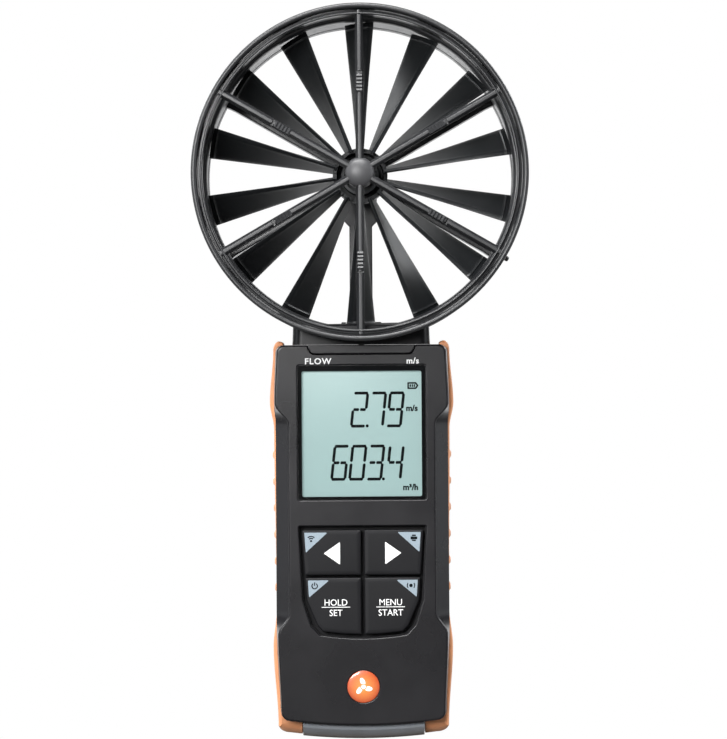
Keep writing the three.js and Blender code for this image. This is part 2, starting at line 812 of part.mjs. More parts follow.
/** Half width at a height, eased between the listed stations. */
function halfWidth(stations, height) {
  const next = stations.findIndex((station) => station.at >= height);
  if (next === 0) return stations[0].half;
  if (next < 0) return stations.at(-1).half;
  const [low, high] = [stations[next - 1], stations[next]];
  const share = (height - low.at) / (high.at - low.at);
  const eased = share * share * (3 - 2 * share);
  return low.half + (high.half - low.half) * eased;
}

/** How far the foot's arc has risen at a distance from the middle. */
function footArc(x) {
  return (x * x) / (2 * FOOT_ARC_RADIUS);
}

/** A closed handle outline: arched foot, stationed sides and a flat top with rounded corners. */
function handleOutline(stations, { inset = 0, bottom = shell.bottom, top = shell.top, corner = 2 } = {}) {
  const base = bottom + inset;
  const ceiling = top - inset;
  const right = RAILS.map((rail) => {
    const height = base + (ceiling - base) * rail;
    const half = halfWidth(stations, height) - inset;
    return { half, height };
  });
  const round = (point) => {
    const fromTop = Math.max(0, corner - (ceiling - point.height));
    const fromBottom = Math.max(0, corner - (point.height - base));
    const pull = (d) => corner - Math.sqrt(Math.max(0, corner * corner - d * d));
    return point.half - pull(fromTop) - pull(fromBottom) * 0.5;
  };
  const halves = right.map((point) => ({ half: round(point), height: point.height }));
  const rise = ({ half, height }) => height + (footArc(half) * (ceiling - height)) / (ceiling - base);
  const rightSide = halves.map((point) => new THREE.Vector2(point.half, rise(point)));
  const leftSide = rightSide.map((point) => new THREE.Vector2(-point.x, point.y)).reverse();
  const footPoints = [-0.66, -0.33, 0, 0.33, 0.66].map((share) => {
    const x = share * halves[0].half;
    return new THREE.Vector2(x, base + footArc(x));
  });
  return [...rightSide, ...leftSide, ...footPoints];
}

/** The outline that both shells share inside the grips. */
const coreStations = SILHOUETTE.map(({ at, half }) => ({ at, half: half - shell.sideInset }));
const core = (inset = 0) => handleOutline(coreStations, { inset, bottom: shell.bottom + 0.4 });

/** The keypad opening: straight top, sides drawn in, arched bottom. */
function keypadShape(grow = 0) {
  const shape = new THREE.Shape();
  shape.moveTo(keypad.topHalf + grow, keypad.top + grow);
  shape.lineTo(-keypad.topHalf - grow, keypad.top + grow);
  shape.lineTo(-keypad.waistHalf - grow, keypad.waist);
  shape.lineTo(-keypad.lowHalf - grow, keypad.low - grow / 2);
  shape.lineTo(-keypad.bottomHalf - grow / 2, keypad.bottom - grow);
  const low = keypad.bottom - grow;
  shape.quadraticCurveTo(0, low - keypad.bottomSag, keypad.bottomHalf + grow / 2, low);
  shape.lineTo(keypad.lowHalf + grow, keypad.low - grow / 2);
  shape.lineTo(keypad.waistHalf + grow, keypad.waist);
  return shape;
}

/** The four places where the casing is screwed together. */
const postPlaces = [-1, 1].flatMap((side) => [
  { x: side * post.topX, y: post.topY },
  { x: side * post.bottomX, y: post.bottomY },
]);

/** Depths of the floors that the heads of the casing screws and neck screws press on. */
const CASING_SINK = face.back + 7.4;
const NECK_SINK = face.back + 1.5;

/** The space that the tongue and plug of the neck take up in the shells. */
function neckClearance() {
  const shape = new THREE.Shape();
  const half = tongue.topHalf + FIT;
  const tipHalf = tongue.tipHalf + FIT;
  const tip = tongue.tip - FIT;
  shape.moveTo(-half, shell.top + 2);
  shape.lineTo(-half, shell.top - tongue.shoulder);
  shape.quadraticCurveTo(-half + tongue.draft, tip, -tipHalf, tip);
  shape.lineTo(tipHalf, tip);
  shape.quadraticCurveTo(half - tongue.draft, tip, half, shell.top - tongue.shoulder);
  shape.lineTo(half, shell.top + 2);
  const plugSpace = block(
    [-plug.halfWidth - FIT, plug.bottom - FIT, plug.back - FIT],
    [plug.halfWidth + FIT, shell.top + 2, plug.front + FIT],
  );
  return join(slab(shape, plug.front - 1 - FIT, face.front + 1), plugSpace);
}

/** The grey end cap's lug, grown for its slot. */
const lug = { half: 8, back: -4, front: 6, bottom: 2, top: 9 };
const strip = { back: -12, front: 10.6, chamfer: 0.5, arcShare: 0.9 };
function lugBody(grow = 0) {
  return block(
    [-lug.half - grow, lug.bottom, lug.back - grow],
    [lug.half + grow, lug.top + grow, lug.front + grow],
  );
}

/** The front shell: raised panel, display seat, keypad opening, badge seat and screw posts. */
function frontShell() {
  const chamfer = 0.5;
  const outside = loft([
    { outline: core(), depth: shell.front },
    { outline: core(), depth: shell.flange - 0.1 },
    { outline: handleOutline(EDGE), depth: shell.flange },
    { outline: handleOutline(EDGE), depth: shell.flange + 1.6 },
    { outline: handleOutline(PANEL), depth: face.front - chamfer },
    { outline: handleOutline(PANEL, { inset: chamfer }), depth: face.front },
  ]);
  const hollow = loft([
    { outline: core(face.wall), depth: shell.front - 1 },
    { outline: core(face.wall), depth: cavity.front },
  ]);
  const seatFloor = face.front - windowSeat.depth;
  const seat = slab(
    roundedRect(-windowSeat.half, windowSeat.bottom, windowSeat.half, windowSeat.top, windowSeat.corner),
    seatFloor, face.front + 1, 2);
  const view = block([-lcd.half, lcd.bottom, cavity.front - 1], [lcd.half, lcd.top, face.front + 1]);
  const keyHole = slab(keypadShape(), cavity.front - 1, face.front + 1);
  const badgeFloor = face.front - badge.seat;
  const badgeSeat = rod(badge.radius + 3 * SLIP, badgeFloor, face.front + 1, 0, badge.height, ROUND);
  const posts = postPlaces.map(({ x, y }) => rod(post.radius, shell.front, cavity.front + 0.5, x, y));
  const pilotEnd = cavity.front - 0.5;
  const pilots = postPlaces.map(({ x, y }) => rod(screwSize.pilot, shell.front - 1, pilotEnd, x, y));
  return cut(
    join(cut(outside, hollow), posts),
    seat, view, keyHole, badgeSeat, pilots, neckClearance(), lugBody(FIT),
  );
}

/** The rear shell: rounded back, battery opening, screw posts and seat for the battery tray. */
function rearShell() {
  const edge = (inset) => handleOutline(EDGE, { inset });
  const outside = loft([
    { outline: edge(3.4), depth: face.back },
    { outline: edge(2), depth: face.back + 0.8 },
    { outline: edge(0.9), depth: face.back + 2.8 },
    { outline: edge(0.4), depth: GRIP.back - 1.6 },
    { outline: edge(0.3), depth: GRIP.back - FIT - 0.1 },
    { outline: core(), depth: GRIP.back - FIT },
    { outline: core(), depth: shell.back },
  ]);
  const hollow = loft([
    { outline: core(face.wall + 0.6), depth: cavity.back },
    { outline: core(face.wall), depth: cavity.back + 1.2 },
    { outline: core(face.wall), depth: shell.back + 1 },
  ]);
  const opening = slab(
    roundedRect(-cover.half - FIT, cover.bottom - FIT, cover.half + FIT, cover.top + FIT, 2),
    face.back - 1, cavity.back + 1, 3);
  const posts = postPlaces.flatMap(({ x, y }) => [
    rod(post.radius, CASING_SINK, shell.back, x, y),
    rod(post.sleeve, face.back + 1, CASING_SINK + 1.4, x, y),
  ]);
  const shanks = postPlaces.map(({ x, y }) => rod(screwSize.shank, face.back - 1, shell.back + 1, x, y));
  const sinks = postPlaces.map(({ x, y }) => rod(screwSize.sink, face.back - 1, CASING_SINK, x, y));
  const neckHoles = [-1, 1].flatMap((side) => [
    rod(screwSize.shank, face.back - 1, plug.back, side * neckScrew.x, neckScrew.y),
    rod(screwSize.sink, face.back - 1, NECK_SINK, side * neckScrew.x, neckScrew.y),
  ]);
  const walls = join(cut(outside, hollow), posts);
  return cut(walls, opening, shanks, sinks, neckHoles, neckClearance(), lugBody(FIT));
}

place(frontView, "front_shell", "casing", frontShell());
place(frontView, "rear_shell", "casing", rearShell());

/** A side grip: it runs from the foot, up the side with its ribs, and over the top corner. */
function sideGrip(side) {
  const heights = RAILS.map((rail) => GRIP.sideLow + (GRIP.sideHigh - GRIP.sideLow) * rail);
  const outer = (inset) => [
    [GRIP.footEnd, footArc(GRIP.footEnd) + inset],
    [23, footArc(23) + inset],
    [25.3 - inset * 0.7, 2.3 + inset * 0.7],
    ...heights.map((y) => [halfWidth(SILHOUETTE, y) - inset, y]),
    [26.4 - inset * 0.7, 123.4 - inset * 0.7],
    [24.6, GRIP.top - inset],
    [GRIP.topEnd, GRIP.top - inset],
  ];
  const coreHalf = (y) => halfWidth(coreStations, y) + FIT;
  const inner = [
    [GRIP.footEnd, 4.6],
    [22.4, 5],
    [coreHalf(7), 7.2],
    ...heights.filter((y) => y > 8 && y < 119.5).map((y) => [coreHalf(y), y]),
    [coreHalf(120.4), 120.6],
    [23.6, shell.top + FIT],
    [GRIP.topEnd, shell.top + FIT],
  ];
  const outline = (inset) => {
    const loop = [...outer(inset), ...inner.toReversed()].map(([x, y]) => new THREE.Vector2(side * x, y));
    return side > 0 ? loop : loop.reverse();
  };
  const bodyLoft = loft([
    { outline: outline(GRIP.backRound), depth: GRIP.back },
    { outline: outline(0), depth: GRIP.back + GRIP.backRoll },
    { outline: outline(0), depth: GRIP.front - GRIP.frontRoll },
    { outline: outline(GRIP.frontRound), depth: GRIP.front },
  ]);
  const ribs = Array.from({ length: rib.count }, (_, i) => {
    const y = rib.top - i * rib.pitch;
    const surface = halfWidth(SILHOUETTE, y);
    const bar = polygon([
      [side * (surface - rib.root), y - rib.half],
      [side * (surface + rib.height), y - rib.crestHalf],
      [side * (surface + rib.height), y + rib.crestHalf],
      [side * (surface - rib.root), y + rib.half],
    ]);
    return slab(bar, GRIP.back + rib.backGap, GRIP.front - rib.frontGap);
  });
  return join(bodyLoft, ribs);
}

place(frontView, "grip_right", "grip", sideGrip(1));
place(frontView, "grip_left", "grip", sideGrip(-1));

/** The grey strip across the foot, with the lug that holds it in the casing. */
function endCap() {
  const half = GRIP.footEnd - FIT;
  const shape = new THREE.Shape();
  const shares = [-1, -0.75, -0.5, -0.25, 0, 0.25, 0.5, 0.75, 1];
  shares.forEach((share, i) => {
    const x = share * half;
    if (i === 0) shape.moveTo(x, footArc(x));
    else shape.lineTo(x, footArc(x));
  });
  shares.toReversed().forEach((share) => {
    const x = share * half;
    shape.lineTo(x, shell.bottom - FIT + footArc(x) * strip.arcShare);
  });
  return join(chamferedSlab(shape, strip.back, strip.front, strip.chamfer), lugBody());
}

place(frontView, "end_cap", "strip", endCap());

// ---------------------------------------------------------------- display and keypad

const windowFloor = face.front - windowSeat.depth;
place(frontView, "display_window", "window",
  slab(roundedRect(
    -windowSeat.half + FIT, windowSeat.bottom + FIT, windowSeat.half - FIT, windowSeat.top - FIT, 0.5,
  ), windowFloor + SLIP, face.front - 0.35, 2));

const layer = { glassFront: 11.1, glassBack: 9.5, lightBack: 7, frameBack: 6.1 };

/** A block that reaches past the visible display area by the same margin on every side. */
function displayBlock(margin, back, front) {
  return block(
    [-lcd.half - margin, lcd.bottom - margin, back],
    [lcd.half + margin, lcd.top + margin, front],
  );
}

/** The space kept free round the screw posts, where boards and frames are notched. */
const postSpaces = postPlaces.map(({ x, y }) => rod(post.radius + FIT, -LIP, LIP, x, y));

place(frontView, "lcd_glass", "lcd", displayBlock(0.6, layer.glassBack, layer.glassFront));
place(frontView, "backlight", "inner", displayBlock(0.5, layer.lightBack, layer.glassBack - 0.2));
place(frontView, "lcd_frame", "inner", cut(
  displayBlock(2.2, layer.frameBack, layer.glassFront),
  displayBlock(0.9, layer.lightBack - 0.2, layer.glassFront + 1),
  displayBlock(-3.6, layer.frameBack - 1, layer.lightBack),
  postSpaces,
));

/** The outline of one key: column is -1 or 1 and row is 1 for the upper pair. */
function keyShape(column, row) {
  const inner = keys.centreGap / 2;
  const slope = (keys.middleHalf - keys.waistHalf) / (keys.middleHeight - keypad.waist);
  const sideAt = (y) => keys.middleHalf - (keys.middleHeight - y) * slope;
  if (row > 0) {
    const low = keys.split + keys.rowGap / 2;
    return polygon([
      [column * inner, low],
      [column * sideAt(low), low],
      [column * sideAt(keys.top), keys.top],
      [column * inner, keys.top],
    ]);
  }
  const high = keys.split - keys.rowGap / 2;
  return polygon([
    [column * inner, keys.bottom - keys.sag],
    [column * keys.bottomHalf / 2, keys.bottom - keys.sideSag],
    [column * keys.bottomHalf, keys.bottom],
    [column * keys.lowHalf, keypad.low],
    [column * keys.waistHalf, keypad.waist],
    [column * sideAt(high), high],
    [column * inner, high],
  ]);
}

const keyList = [
  { name: "key_left", column: -1, row: 1 },
  { name: "key_right", column: 1, row: 1 },
  { name: "key_mode", column: -1, row: -1 },
  { name: "key_menu", column: 1, row: -1 },
];
const switchSize = { x: 9, y: 7.6, topRadius: 1.6, radius: 3, height: 0.7, nib: 1.3 };
const switchPlace = ({ column, row }) => ({ x: column * switchSize.x, y: keys.split + row * switchSize.y });

for (const key of keyList) {
  const cap = chamferedSlab(keyShape(key.column, key.row), keys.back, keys.front, keys.chamfer);
  place(frontView, key.name, "key", cap);
}

/** The rubber mat behind the keys, with a rim round them and a nib over each switch. */
function keypadMat() {
  const sheet = { back: 7.6, front: keys.back - keys.travel - 0.1 };
  const mat = slab(keypadShape(1.2), sheet.back, sheet.front);
  const rim = cut(slab(keypadShape(1.2), sheet.front, cavity.front - 0.2),
    slab(keypadShape(-0.3), sheet.front - 1, cavity.front + 1));
  const nibs = keyList.map((key) => {
    const { x, y } = switchPlace(key);
    return rod(switchSize.nib, board.front + 1, sheet.back, x, y);
  });
  return join(mat, rim, nibs);
}

place(frontView, "keypad_mat", "key", keypadMat());

for (const key of keyList) {
  const { x, y } = switchPlace(key);
  const bottom = board.front + SLIP;
  const dome = new THREE.CylinderGeometry(switchSize.topRadius, switchSize.radius, switchSize.height, SMALL);
  dome.rotateX(Math.PI / 2).translate(x, y, bottom + switchSize.height / 2);
  place(frontView, key.name.replace("key", "switch"), "steel", solid(dome));
}

place(frontView, "badge", "badge",
  turned([
    [0, 0],
    [badge.radius, 0],
    [badge.radius, badge.thickness - 0.25],
    [badge.radius - 0.4, badge.thickness - 0.05],
    [0, badge.thickness],
  ], ROUND).translate([0, badge.height, face.front - badge.seat + SLIP]));

// ---------------------------------------------------------------- electronics

const socket = { half: 3, bottom: 110.2, top: 114.4, back: -3.6 };
const chip = { left: -15, right: -4, bottom: 84, top: 95, height: 1.3 };
const radio = { left: 6, right: 18, bottom: 96, top: 108, height: 2.2 };
const buzzer = { radius: 5, x: 12, y: 84.5, height: 4 };

/** A rectangular component on the back of the board. */
function boardChip({ left, right, bottom, top, height }) {
  return block([left, bottom, board.back - height], [right, top, board.back - SLIP]);
}

place(frontView, "main_board", "board", cut(
  slab(roundedRect(-board.half, board.bottom, board.half, board.top, 1.5), board.back, board.front, 2),
  postSpaces,
));
place(frontView, "cable_socket", "inner", block(
  [-socket.half, socket.bottom, socket.back], [socket.half, socket.top, board.back - SLIP]));
place(frontView, "processor", "key", boardChip(chip));
place(frontView, "radio_module", "steel", boardChip(radio));
place(frontView, "buzzer", "key",
  rod(buzzer.radius, board.back - buzzer.height, board.back - SLIP, buzzer.x, buzzer.y, ROUND));

/** Centre line of each cell; the middle one is turned end for end. */
const cells = [-1, 0, 1].map((place) => ({ x: place * cell.pitch, flip: place === 0 }));

/** One cell with its positive nub. */
function cellBody({ x, flip }) {
  const top = cell.bottom + cell.length;
  const can = upright(cell.radius, cell.bottom, top, x, cell.depth, ROUND);
  const nub = flip
    ? upright(cell.nubRadius, cell.bottom - cell.nub, cell.bottom + 0.5, x, cell.depth)
    : upright(cell.nubRadius, top - 0.5, top + cell.nub, x, cell.depth);
  return join(can, nub);
}

cells.forEach((one, i) => place(frontView, `battery_${i + 1}`, "cell", cellBody(one)));

/** The tray that holds the cells, open to the back. */
function batteryTray() {
  const body = block([-tray.half, tray.bottom, tray.back], [tray.half, tray.top, tray.front]);
  const troughs = cells.map(({ x }) => join(
    upright(cell.radius + FIT, tray.bottom + tray.end, tray.top - tray.end, x, cell.depth, ROUND),
    block(
      [x - cell.radius - FIT, tray.bottom + tray.end, tray.back - 1],
      [x + cell.radius + FIT, tray.top - tray.end, cell.depth],
    ),
  ));
  return cut(body, troughs);
}

place(frontView, "battery_tray", "inner", batteryTray());

/** A conical contact spring that presses on a cell's flat end. */
function contactSpring({ x, flip }) {
  const { wire, turns, base, taper, points: count } = spring;
  const reach = flip
    ? [tray.top - tray.end - wire - spring.seatGap, cell.bottom + cell.length + wire + CONTACT_GAP]
    : [tray.bottom + tray.end + wire + spring.seatGap, cell.bottom - wire - CONTACT_GAP];
  const points = Array.from({ length: count + 1 }, (_, i) => {
    const share = i / count;
    const angle = TAU * turns * share;
    const radius = base - taper * share;
    const height = reach[0] + (reach[1] - reach[0]) * share;
    return new THREE.Vector3(x + radius * Math.cos(angle), height, cell.depth + radius * Math.sin(angle));
  });
  return sweep(new THREE.CatmullRomCurve3(points), wire, spring.steps, spring.facets);
}

/** A flat contact that meets a cell's nub. */
function contactPlate({ x, flip }) {
  const reach = cell.nub + CONTACT_GAP;
  const level = flip ? cell.bottom - reach : cell.bottom + cell.length + reach;
  const other = flip ? level - contact.thickness : level + contact.thickness;
  return block(
    [x - contact.half, Math.min(level, other), cell.depth - contact.depth],
    [x + contact.half, Math.max(level, other), cell.depth + contact.depth],
  );
}

cells.forEach((one, i) => {
  place(frontView, `contact_spring_${i + 1}`, "steel", contactSpring(one));
  place(frontView, `contact_plate_${i + 1}`, "steel", contactPlate(one));
});

/** The battery cover: a flush plate with a row of finger ridges and a snap tab at the top. */
function batteryCover() {
  const front = face.back + cover.thickness;
  const outline = roundedRect(-cover.half, cover.bottom, cover.half, cover.top, cover.corner);
  const plate = slab(outline, face.back, front, 3);
  const tab = block(
    [-coverTab.half, cover.top - coverTab.bottom, front - 0.5],
    [coverTab.half, cover.top - coverTab.top, front + coverTab.depth],
  );
  const { count, half, start, pitch, thickness } = coverRidge;
  const ridges = Array.from({ length: count }, (_, i) => {
    const y = cover.top - start - i * pitch;
    return block([-half, y - thickness, face.back - 1], [half, y + thickness, face.back + thickness]);
  });
  return cut(join(plate, tab), ridges);
}

place(frontView, "battery_cover", "casing", batteryCover());

/** A self-tapping screw seen from the back: pan head, shank and cross recess. */
function screw(x, y, floor, tip) {
  const headFront = floor - SLIP;
  const headBack = headFront - screwSize.headHeight;
  const body = join(
    rod(screwSize.sink - FIT, headBack, headFront, x, y),
    rod(screwSize.pilot - SLIP, headFront - 0.2, tip, x, y),
  );
  const { slotReach, slotHalf } = screwSize;
  const recess = [[slotReach, slotHalf], [slotHalf, slotReach]].map(([w, h]) =>
    block([x - w, y - h, headBack - 1], [x + w, y + h, headBack + 0.7]));
  return cut(body, recess);
}

postPlaces.forEach(({ x, y }, i) => {
  place(frontView, `casing_screw_${i + 1}`, "steel", screw(x, y, CASING_SINK, cavity.front - 1.2));
});
[-1, 1].forEach((side, i) => {
  const body = screw(side * neckScrew.x, neckScrew.y, NECK_SINK, leg.front - 1);
  place(frontView, `neck_screw_${i + 1}`, "steel", body);
});

export default anemometer;
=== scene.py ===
"""Looks for a hand-held vane anemometer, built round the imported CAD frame.

Shapes are drawn in the front view in millimetres: x to the right, y up, z forward out of the display.
to_world() stands that view upright in the frame's metres, so forward becomes -Y and up becomes +Z.
An outline is a list of (x, y) points that runs anticlockwise; "depth" is a place along the forward axis.
"""

import math

import bmesh
import bpy
from mathutils import Matrix, Vector


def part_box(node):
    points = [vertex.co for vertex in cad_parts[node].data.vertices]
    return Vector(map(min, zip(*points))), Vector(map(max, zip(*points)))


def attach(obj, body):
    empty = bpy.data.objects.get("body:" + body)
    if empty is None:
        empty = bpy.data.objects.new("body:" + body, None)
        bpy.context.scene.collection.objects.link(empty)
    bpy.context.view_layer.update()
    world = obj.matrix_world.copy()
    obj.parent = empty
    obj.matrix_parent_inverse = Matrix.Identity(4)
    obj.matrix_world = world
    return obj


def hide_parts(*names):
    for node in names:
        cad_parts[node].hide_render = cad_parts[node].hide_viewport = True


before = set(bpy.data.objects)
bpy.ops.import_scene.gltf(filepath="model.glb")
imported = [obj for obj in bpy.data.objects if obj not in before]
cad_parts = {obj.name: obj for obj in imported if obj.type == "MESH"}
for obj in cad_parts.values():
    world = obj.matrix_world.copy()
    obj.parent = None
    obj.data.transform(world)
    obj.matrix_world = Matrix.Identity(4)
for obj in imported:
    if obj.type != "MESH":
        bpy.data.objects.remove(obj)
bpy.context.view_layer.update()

MM = 0.001
TAU = 2 * math.pi


# ---------------------------------------------------------------- sizes taken from the frame


class Box:
    """A CAD node's box in the front view, in millimetres."""

    def __init__(self, node):
        low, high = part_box(node)
        self.left, self.right = low.x / MM, high.x / MM
        self.bottom, self.top = low.z / MM, high.z / MM
        self.back, self.front = -high.y / MM, -low.y / MM
        self.width = self.right - self.left
        self.x = (self.left + self.right) / 2
        self.y = (self.bottom + self.top) / 2
        self.z = (self.back + self.front) / 2

    def rect(self, grow, radius, steps):
        """Its outline, grown by a distance and with round corners."""
        return rounded_rect(
            self.left - grow, self.bottom - grow, self.right + grow, self.top + grow, radius, steps
        )


HOUSING = Box("vane_housing")
RING_R = HOUSING.width / 2
RING_Y = HOUSING.top - RING_R
LIP = HOUSING.front
INLET = Box("inlet_guard")
OUTLET = Box("outlet_guard")
CAP = Box("hub_cap")
FRONT = Box("front_shell")
REAR = Box("rear_shell")
GRIP = Box("grip_right")
FOOT = Box("end_cap")
WINDOW = Box("display_window")
GLASS = Box("lcd_glass")
BADGE = Box("badge")
COVER = Box("battery_cover")

# Half widths of the handle at the heights where its silhouette changes, as in the CAD.
SILHOUETTE = [
    (2.3, 25.3), (4.2, 26.6), (29, 28), (41, 26.9), (97, 27.4), (105, 28.65), (121.3, 27.5), (124.2, 26),
]
# The raised panel on the front: broad at both ends, drawn in at the waist.
PANEL = [(4.9, 25.4), (31.6, 26.4), (38.9, 23), (98.2, 23), (104.2, 27), (122.9, 26.3)]
# The outer edge of the front shell, where it meets the side grips.
EDGE = [(4.9, 25.8), (32.4, 26.9), (98.6, 26.8), (104, 27.3), (122.9, 26.7)]
SIDE_INSET = 2.4
FOOT_ARC_RADIUS = 177
RING_FACETS = 192


# ---------------------------------------------------------------- outlines


def quarter(steps):
    """(sine, cosine) pairs through a quarter turn."""
    angles = [math.pi / 2 * i / steps for i in range(steps + 1)]
    return [(math.sin(angle), math.cos(angle)) for angle in angles]


def arc(cx, cy, radius, start, end, steps):
    """Points on an arc, angles in degrees."""
    angles = [math.radians(start + (end - start) * i / steps) for i in range(steps + 1)]
    return [(cx + radius * math.cos(a), cy + radius * math.sin(a)) for a in angles]


def circle(cx, cy, radius, count=48):
    return arc(cx, cy, radius, 0, 360 * (count - 1) / count, count - 1)


def mirrored(points, side):
    """The outline as it is, or flipped to the left where side is negative."""
    return points if side > 0 else [(-x, y) for x, y in reversed(points)]


def rounded(points, radius, steps=5):
    """The same polygon with each corner rounded; radius is one value or one per corner."""
    radii = radius if isinstance(radius, list) else [radius] * len(points)
    result = []
    for i, (corner, r) in enumerate(zip(points, radii)):
        here = Vector(corner)
        before = (Vector(points[i - 1]) - here).normalized()
        after = (Vector(points[(i + 1) % len(points)]) - here).normalized()
        half = before.angle(after) / 2
        if r <= 0 or half > math.radians(89):
            result.extend([tuple(here)] * (steps + 1))
            continue
        reach = r / math.tan(half)
        centre = here + (before + after).normalized() * (r / math.sin(half))
        first = here + before * reach - centre
        last = here + after * reach - centre
        turn = first.angle_signed(last)
        for k in range(steps + 1):
            swing = -turn * k / steps
            cos, sin = math.cos(swing), math.sin(swing)
            result.append((
                centre.x + first.x * cos - first.y * sin,
                centre.y + first.x * sin + first.y * cos,
            ))
    return result


def rounded_rect(left, bottom, right, top, radius, steps=5):
    corners = [(left, bottom), (right, bottom), (right, top), (left, top)]
    return rounded(corners, radius, steps)


def offset(outline, distance):
    """The outline moved outwards by a distance, or inwards where it is negative."""
    result = []
    for i, point in enumerate(outline):
        here = Vector(point)
        before = here - Vector(outline[i - 1])
        after = Vector(outline[(i + 1) % len(outline)]) - here
        if before.length < 1e-6:
            before = after
        if after.length < 1e-6:
            after = before
        n1 = Vector((before.y, -before.x)).normalized()
        n2 = Vector((after.y, -after.x)).normalized()
        mitre = n1 + n2
        mitre /= max(0.4, mitre.dot(n1))
        result.append((here.x + mitre.x * distance, here.y + mitre.y * distance))
    return result


def grown(corners, radii, distance, steps=5):
    """A rounded polygon moved outwards, or inwards, that keeps its corners round."""
    return rounded(offset(corners, distance), [max(0.12, r + distance) if r > 0 else 0 for r in radii], steps)


def edge_round(radius, depth, direction, steps=4):
    """(inset, depth) pairs round an edge that ends at a depth; direction 1 faces forward."""
    pairs = [(radius * (1 - cos), depth - direction * radius * (1 - sin)) for sin, cos in quarter(steps)]
    return pairs if direction > 0 else pairs[::-1]


# ---------------------------------------------------------------- mesh helpers


def to_world(x, y, z):
    return Vector((x * MM, -z * MM, y * MM))


def add_object(name, data):
    """A new object with this mesh, curve, light or camera, put in the scene."""
    obj = bpy.data.objects.new(name, data)
    bpy.context.scene.collection.objects.link(obj)
    return obj


def mesh_object(name, bm):
    mesh = bpy.data.meshes.new(name)
    bm.to_mesh(mesh)
    bm.free()
    return add_object(name, mesh)


def mark_sharp(bm, angle):
    limit = math.radians(angle)
    for face in bm.faces:
        face.smooth = True
    for edge in bm.edges:
        edge.smooth = len(edge.link_faces) == 2 and edge.calc_face_angle(0) < limit


def make_object(name, bm, sharp_angle=38):
    """A bmesh drawn in the front view as a finished object, smooth but for its sharp edges."""
    for vertex in bm.verts:
        vertex.co = to_world(*vertex.co)
    bmesh.ops.remove_doubles(bm, verts=bm.verts, dist=0.002 * MM)
    bmesh.ops.recalc_face_normals(bm, faces=bm.faces)
    mark_sharp(bm, sharp_angle)
    return mesh_object(name, bm)


def skin(name, loops, closed=False, sharp_angle=38):
    """A body through loops of (x, y, depth) points; closed joins the last loop to the first."""
    bm = bmesh.new()
    rows = [[bm.verts.new(point) for point in loop] for loop in loops]
    following = rows[1:] + rows[:1] if closed else rows[1:]
    for lower, upper in zip(rows, following):
        for i, vertex in enumerate(lower):
            j = (i + 1) % len(lower)
            bm.faces.new((vertex, lower[j], upper[j], upper[i]))
    if not closed:
        bm.faces.new(reversed(rows[0]))
        bm.faces.new(rows[-1])
    return make_object(name, bm, sharp_angle)


def loft(name, sections, closed=False, sharp_angle=38):
    """A body through (outline, depth) sections."""
    loops = [[(x, y, depth) for x, y in outline] for outline, depth in sections]
    return skin(name, loops, closed, sharp_angle)


def lathe(name, profile, centre=(0, RING_Y), facets=RING_FACETS, ring=False):
    """A body turned about the forward axis; the profile lists (radius, depth) anticlockwise."""
    bm = bmesh.new()
    columns = []
    for x, y in circle(0, 0, 1, facets):
        columns.append([bm.verts.new((centre[0] + r * x, centre[1] + r * y, z)) for r, z in profile])
    for i, column in enumerate(columns):
        following = columns[(i + 1) % facets]
        for j in range(len(profile) if ring else len(profile) - 1):
            k = (j + 1) % len(profile)
            corners = [column[j], following[j], following[k], column[k]]
            if profile[j][0] == 0:
                corners.pop(0)
            elif profile[k][0] == 0:
                corners.pop(2)
            bm.faces.new(corners)
    return make_object(name, bm)


def pillow(name, outline, back, front, back_radius, front_radius):
    """A thick plate with rounded back and front edges."""
    pairs = edge_round(back_radius, back, -1) + edge_round(front_radius, front, 1)
    return loft(name, [(offset(outline, -inset), depth) for inset, depth in pairs])


def block(name, low, high, radius=0.15):
    outline = rounded_rect(low[0], low[1], high[0], high[1], radius, 3)
    return pillow(name, outline, low[2], high[2], radius, radius)


def rod(name, radius, back, front, place, facets=32):
    outline = circle(*place, radius, facets)
    return loft(name, [(outline, back), (outline, front)])


def well(name, make_outline, floor, face, rounding=0.3, way=1):
    """A cutter for an opening whose rim is rounded where it meets the face; way -1 opens backwards."""
    start = face - way * rounding
    sections = [(make_outline(0), floor), (make_outline(0), start)]
    for sin, cos in quarter(4)[1:]:
        sections.append((make_outline(rounding * (1 - cos)), start + way * rounding * sin))
    sections.append((make_outline(rounding), face + way))
    return loft(name, sections[::way])


def evaluated_mesh(obj):
    """A new mesh from an object with its modifiers applied, or from a curve."""
    bpy.context.view_layer.update()
    evaluated = obj.evaluated_get(bpy.context.evaluated_depsgraph_get())
    return bpy.data.meshes.new_from_object(evaluated)


def merged(name, objects, operation="UNION"):
    """The first object joined with, or cut by, the others."""
    target, tools = objects[0], objects[1:]
    for tool in tools:
        modifier = target.modifiers.new("cut", "BOOLEAN")
        modifier.operation = operation
        modifier.object = tool
        modifier.solver = "MANIFOLD"
    mesh = evaluated_mesh(target)
    target.modifiers.clear()
    target.data = mesh
    for tool in tools:
        bpy.data.objects.remove(tool)
    target.name = name
    return target


def cut(target, *tools):
    return merged(target.name, [target, *tools], "DIFFERENCE")


def resharpen(obj, angle=38):
    """Shades a boolean result smooth but for its sharp edges, and keeps its flat faces flat."""
    bm = bmesh.new()
    bm.from_mesh(obj.data)
    mark_sharp(bm, angle)
    bm.to_mesh(obj.data)
    bm.free()
    obj.modifiers.new("flat_faces", "WEIGHTED_NORMAL").keep_sharp = True
    return obj


def turned(obj, angle):
    """The object, turned clockwise about the duct's axis."""
    middle = to_world(0, RING_Y, 0)
    turn = Matrix.Rotation(-angle, 4, "Y")
    obj.data.transform(Matrix.Translation(middle) @ turn @ Matrix.Translation(-middle))
    return obj


def copies(make, count):
    """Copies of a piece turned about the duct's axis."""
    return [turned(make(), TAU * i / count) for i in range(count)]


